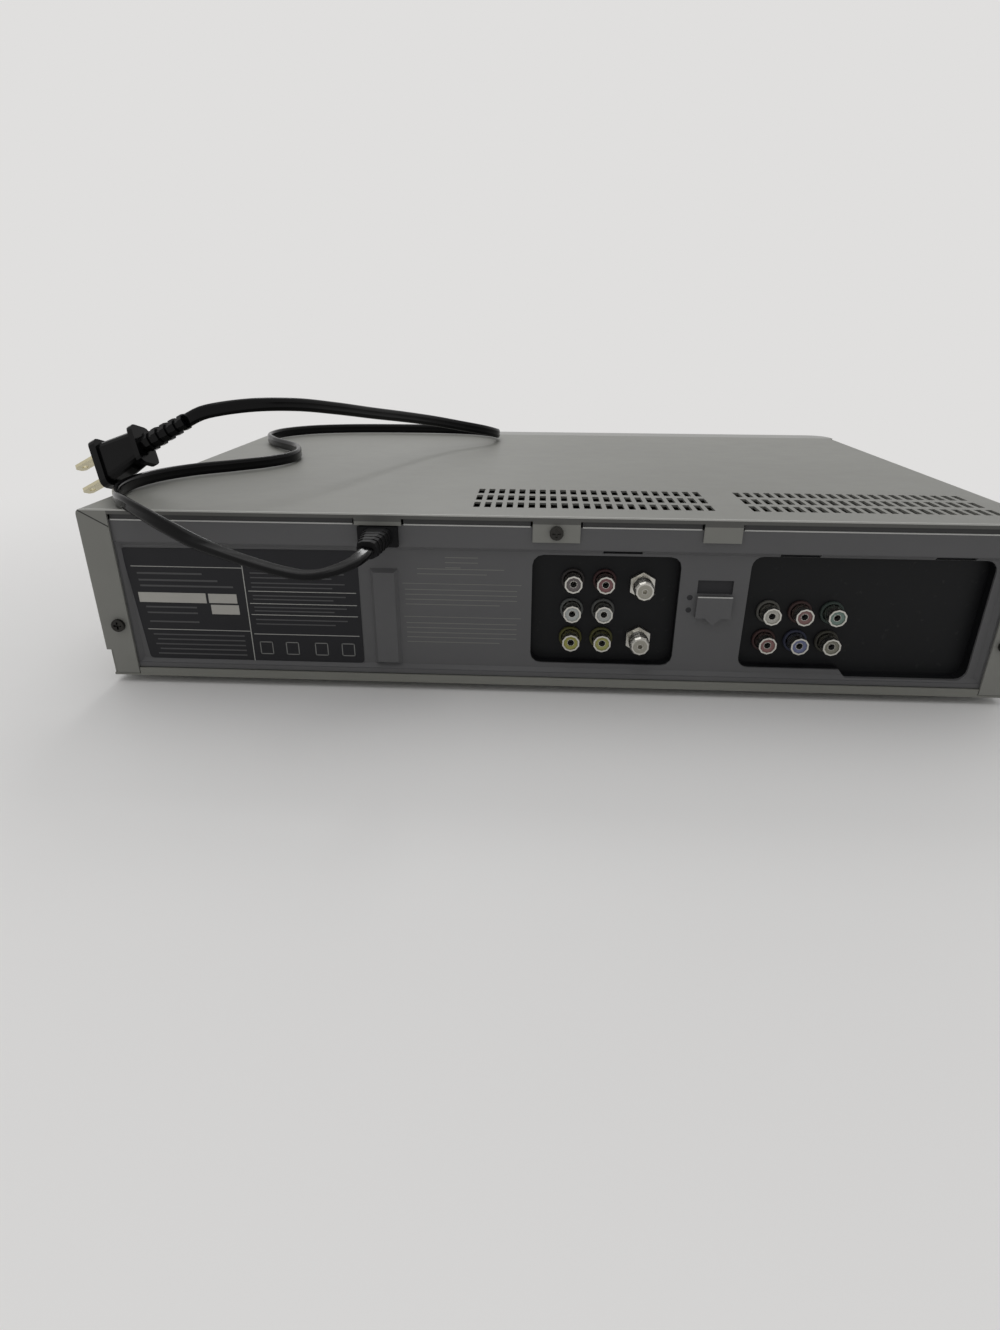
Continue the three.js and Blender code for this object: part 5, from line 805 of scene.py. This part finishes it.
def add_key_signs():
    ink = painted("key_ink", srgb(46, 46, 48), 0.45, wear=0.05)
    signs = {
        "stop": [bar(-STOP_HALF, STOP_HALF, -STOP_HALF, STOP_HALF)],
        "forward": [arrow(-start, ARROW_REACH, ARROW_HALF) for start in ARROW_STARTS],
        "play": [arrow(PLAY_START, PLAY_REACH, PLAY_HALF)],
        "rewind": [arrow(start, -ARROW_REACH, ARROW_HALF) for start in ARROW_STARTS],
        "eject": rise(EJECT_HALF, EJECT_LOW),
        "power": power_sign(),
        "open_close": rise(OPEN_HALF, OPEN_LOW),
    }
    places = {name: (x, KEY_Z) for name, x in KEYS.items()}
    places["power"] = (POWER_X, KEY_Z)
    places["open_close"] = OPEN_CLOSE
    for name, place in places.items():
        flat_shapes(
            "sign_" + name, signs[name], *place, SIGN_FACE, SIGN_THICKNESS, ink, name + "_key", "key_plastic"
        )


# Front: the door's pane, trim lines, display and lenses
PANE_CORNERS = ((-16, 71), (-194, 71), (-194, 51), (-16, 51))
PANE_ROUND, PANE_FACE, PANE_THICKNESS = 2.5, FRONT + 0.7, 0.25
TRAY_TRIM = (-62, 62, -0.35, 0.35)
TRAY_TRIM_PLACE, TRAY_TRIM_FACE, TRAY_TRIM_THICKNESS = (110, 53), FRONT - 0.52, 0.25
BEZEL_TRIM = (-206, 206, -0.4, 0.4)
BEZEL_TRIM_PLACE, BEZEL_TRIM_FACE, BEZEL_TRIM_THICKNESS = (0, 14.5), FRONT - 0.12, 0.3
DISPLAY = (110, 32)
DISPLAY_FACE, DISPLAY_THICKNESS = FRONT - 0.06, 0.1
DIGIT_X = (-24, -14, 2, 12)  # from the middle of the display
DIGIT_WIDTH, DIGIT_HALF, DIGIT_LINE = 5.2, 4.6, 0.9
SEGMENT_CUT, SEGMENT_GAP = 0.5, 0.6
COLON_X, COLON_HALF, COLON_Z = (-6.6, -5.6), 0.5, (-2.2, 2.2)
LEVEL_X, LEVEL_HALF, LEVEL_Z = (22, 36), 0.4, (-4, 0, 4)
LENS_SIDES = 28
LENS = ((0, 0.1), (1, 0.1), (0.9, -0.25), (0.5, -0.4), (0, -0.45))  # radius share, and y from the bezel


def digit_segments(x):
    """The seven unlit bars of one display digit."""
    half, line = DIGIT_WIDTH / 2, DIGIT_LINE / 2
    shapes = []
    for z in (-DIGIT_HALF, 0, DIGIT_HALF):
        shapes.append(bar(x - half + SEGMENT_CUT, x + half - SEGMENT_CUT, z - line, z + line))
    for side in (-half, half):
        for low in (SEGMENT_GAP - DIGIT_HALF, SEGMENT_GAP):
            high = low + DIGIT_HALF - 2 * SEGMENT_GAP
            shapes.append(bar(x + side - line, x + side + line, low, high))
    return shapes


def add_display():
    lit = painted("display_ink", srgb(74, 96, 98), 0.4, wear=0.04)
    segments = [shape for x in DIGIT_X for shape in digit_segments(x)]
    segments += [bar(*COLON_X, z - COLON_HALF, z + COLON_HALF) for z in COLON_Z]
    segments += [bar(*LEVEL_X, z - LEVEL_HALF, z + LEVEL_HALF) for z in LEVEL_Z]
    flat_shapes(
        "display_digits", segments, *DISPLAY, DISPLAY_FACE, DISPLAY_THICKNESS, lit, "case", "window_plastic"
    )


def add_lens(name, x, z, radius, paint):
    profile = [(radius * share, FRONT + y) for share, y in LENS]
    finish(turned(name, profile, x, z, LENS_SIDES), paint, "case")


def add_front_trim():
    pane = rounded_plate("door_inlay", PANE_CORNERS, PANE_ROUND, PANE_FACE, PANE_THICKNESS)
    finish(pane, glass("smoked_plate"), "cassette_flap")
    strip = painted("front_trim", srgb(206, 206, 203), 0.3, wear=0.01)
    for name, cell, place, face, thickness, body in (
        ("tray_trim", TRAY_TRIM, TRAY_TRIM_PLACE, TRAY_TRIM_FACE, TRAY_TRIM_THICKNESS, "tray"),
        ("bezel_trim", BEZEL_TRIM, BEZEL_TRIM_PLACE, BEZEL_TRIM_FACE, BEZEL_TRIM_THICKNESS, "case"),
    ):
        flat_shapes(name, [bar(*cell)], *place, face, thickness, strip, body, "front_plastic")
    add_display()
    add_lens("remote_eye", 176, 32, 3.0, glass("eye_glass"))
    add_lens("standby_lamp", -178.5, 26, 1.1, rubber("lamp_lens", srgb(120, 26, 22), 0.2, 0.5))


# Stage, in metres and watts
BACKGROUND = srgb(224, 223, 222)
TABLE_HALF = 6
FADE = (0.22, 0.62)  # from the middle, where the table turns into the background
WORLD_LIGHT = 0.38
AIM = (0, 0, 0.04)
LAMPS = (  # name, place, width and power
    ("overhead", (0.05, -0.35, 1.5), 1.6, 5.6),
    ("behind", (0.3, 0.6, 1.4), 0.8, 1.8),
    ("far_window", (0.35, -1.6, 1.4), 0.5, 5.0),
)


def seen_rays(tree):
    """One for what the camera sees directly, in a mirror or through glass, and nought for the light."""
    path = node(tree, "ShaderNodeLightPath")
    seen = math_node(tree, "MAXIMUM", path.outputs["Is Camera Ray"], path.outputs["Is Glossy Ray"])
    return math_node(tree, "MAXIMUM", seen, path.outputs["Is Transmission Ray"])


def add_floor():
    """A pale table top, which fades into the background away from the object."""
    reach = TABLE_HALF
    corners = [(-reach, -reach, 0), (reach, -reach, 0), (reach, reach, 0), (-reach, reach, 0)]
    floor = mesh_from("floor", corners, [(0, 1, 2, 3)])
    made, tree, shader = material("floor")
    grain = noise(tree, scale=3.0, detail=4.0)
    tree.links.new(mix(tree, grain, srgb(243, 242, 241), srgb(248, 247, 246)), shader.inputs["Base Color"])
    shader.inputs["Roughness"].default_value = 0.55
    shader.inputs["Specular IOR Level"].default_value = 0.25
    away = node(tree, "ShaderNodeVectorMath", operation="LENGTH")
    tree.links.new(node(tree, "ShaderNodeTexCoord").outputs["Object"], away.inputs[0])
    far = node(tree, "ShaderNodeMapRange", From_Min=FADE[0], From_Max=FADE[1])
    far.interpolation_type = "SMOOTHSTEP"
    tree.links.new(away.outputs["Value"], far.inputs["Value"])
    pale = node(tree, "ShaderNodeEmission", Color=BACKGROUND)
    shown = math_node(tree, "MULTIPLY", far.outputs["Result"], seen_rays(tree))
    surface = tree.nodes["Material Output"].inputs["Surface"]
    mixed_shaders(tree, shown, shader.outputs[0], pale.outputs[0], surface)
    floor.data.materials.append(made)


def add_world():
    """Plain light for the object, and the background's colour for what is seen."""
    world = bpy.data.worlds.new("world")
    bpy.context.scene.world = world
    world.use_nodes = True
    tree = world.node_tree
    light = tree.nodes["Background"]
    light.inputs["Color"].default_value = (1, 1, 1, 1)
    light.inputs["Strength"].default_value = WORLD_LIGHT
    shown = node(tree, "ShaderNodeBackground", Color=BACKGROUND)
    surface = tree.nodes["World Output"].inputs["Surface"]
    mixed_shaders(tree, seen_rays(tree), light.outputs[0], shown.outputs[0], surface)


def add_lamps():
    for name, place, width, power in LAMPS:
        data = bpy.data.lights.new(name, "AREA")
        data.shape = "DISK"
        data.size = width
        data.energy = power
        lamp = bpy.data.objects.new(name, data)
        lamp.location = place
        lamp.rotation_euler = (Vector(AIM) - Vector(place)).to_track_quat("-Z", "Y").to_euler()
        lamp.visible_camera = False
        bpy.context.scene.collection.objects.link(lamp)


bpy.context.scene.view_settings.view_transform = "Standard"
add_camera()
add_cord()
dress_nodes()
round_edges()
add_rating_plate()
add_fine_rules()
add_jack_rings()
add_aerial_cores()
add_panel_trim()
add_key_signs()
add_front_trim()
add_floor()
add_world()
add_lamps()
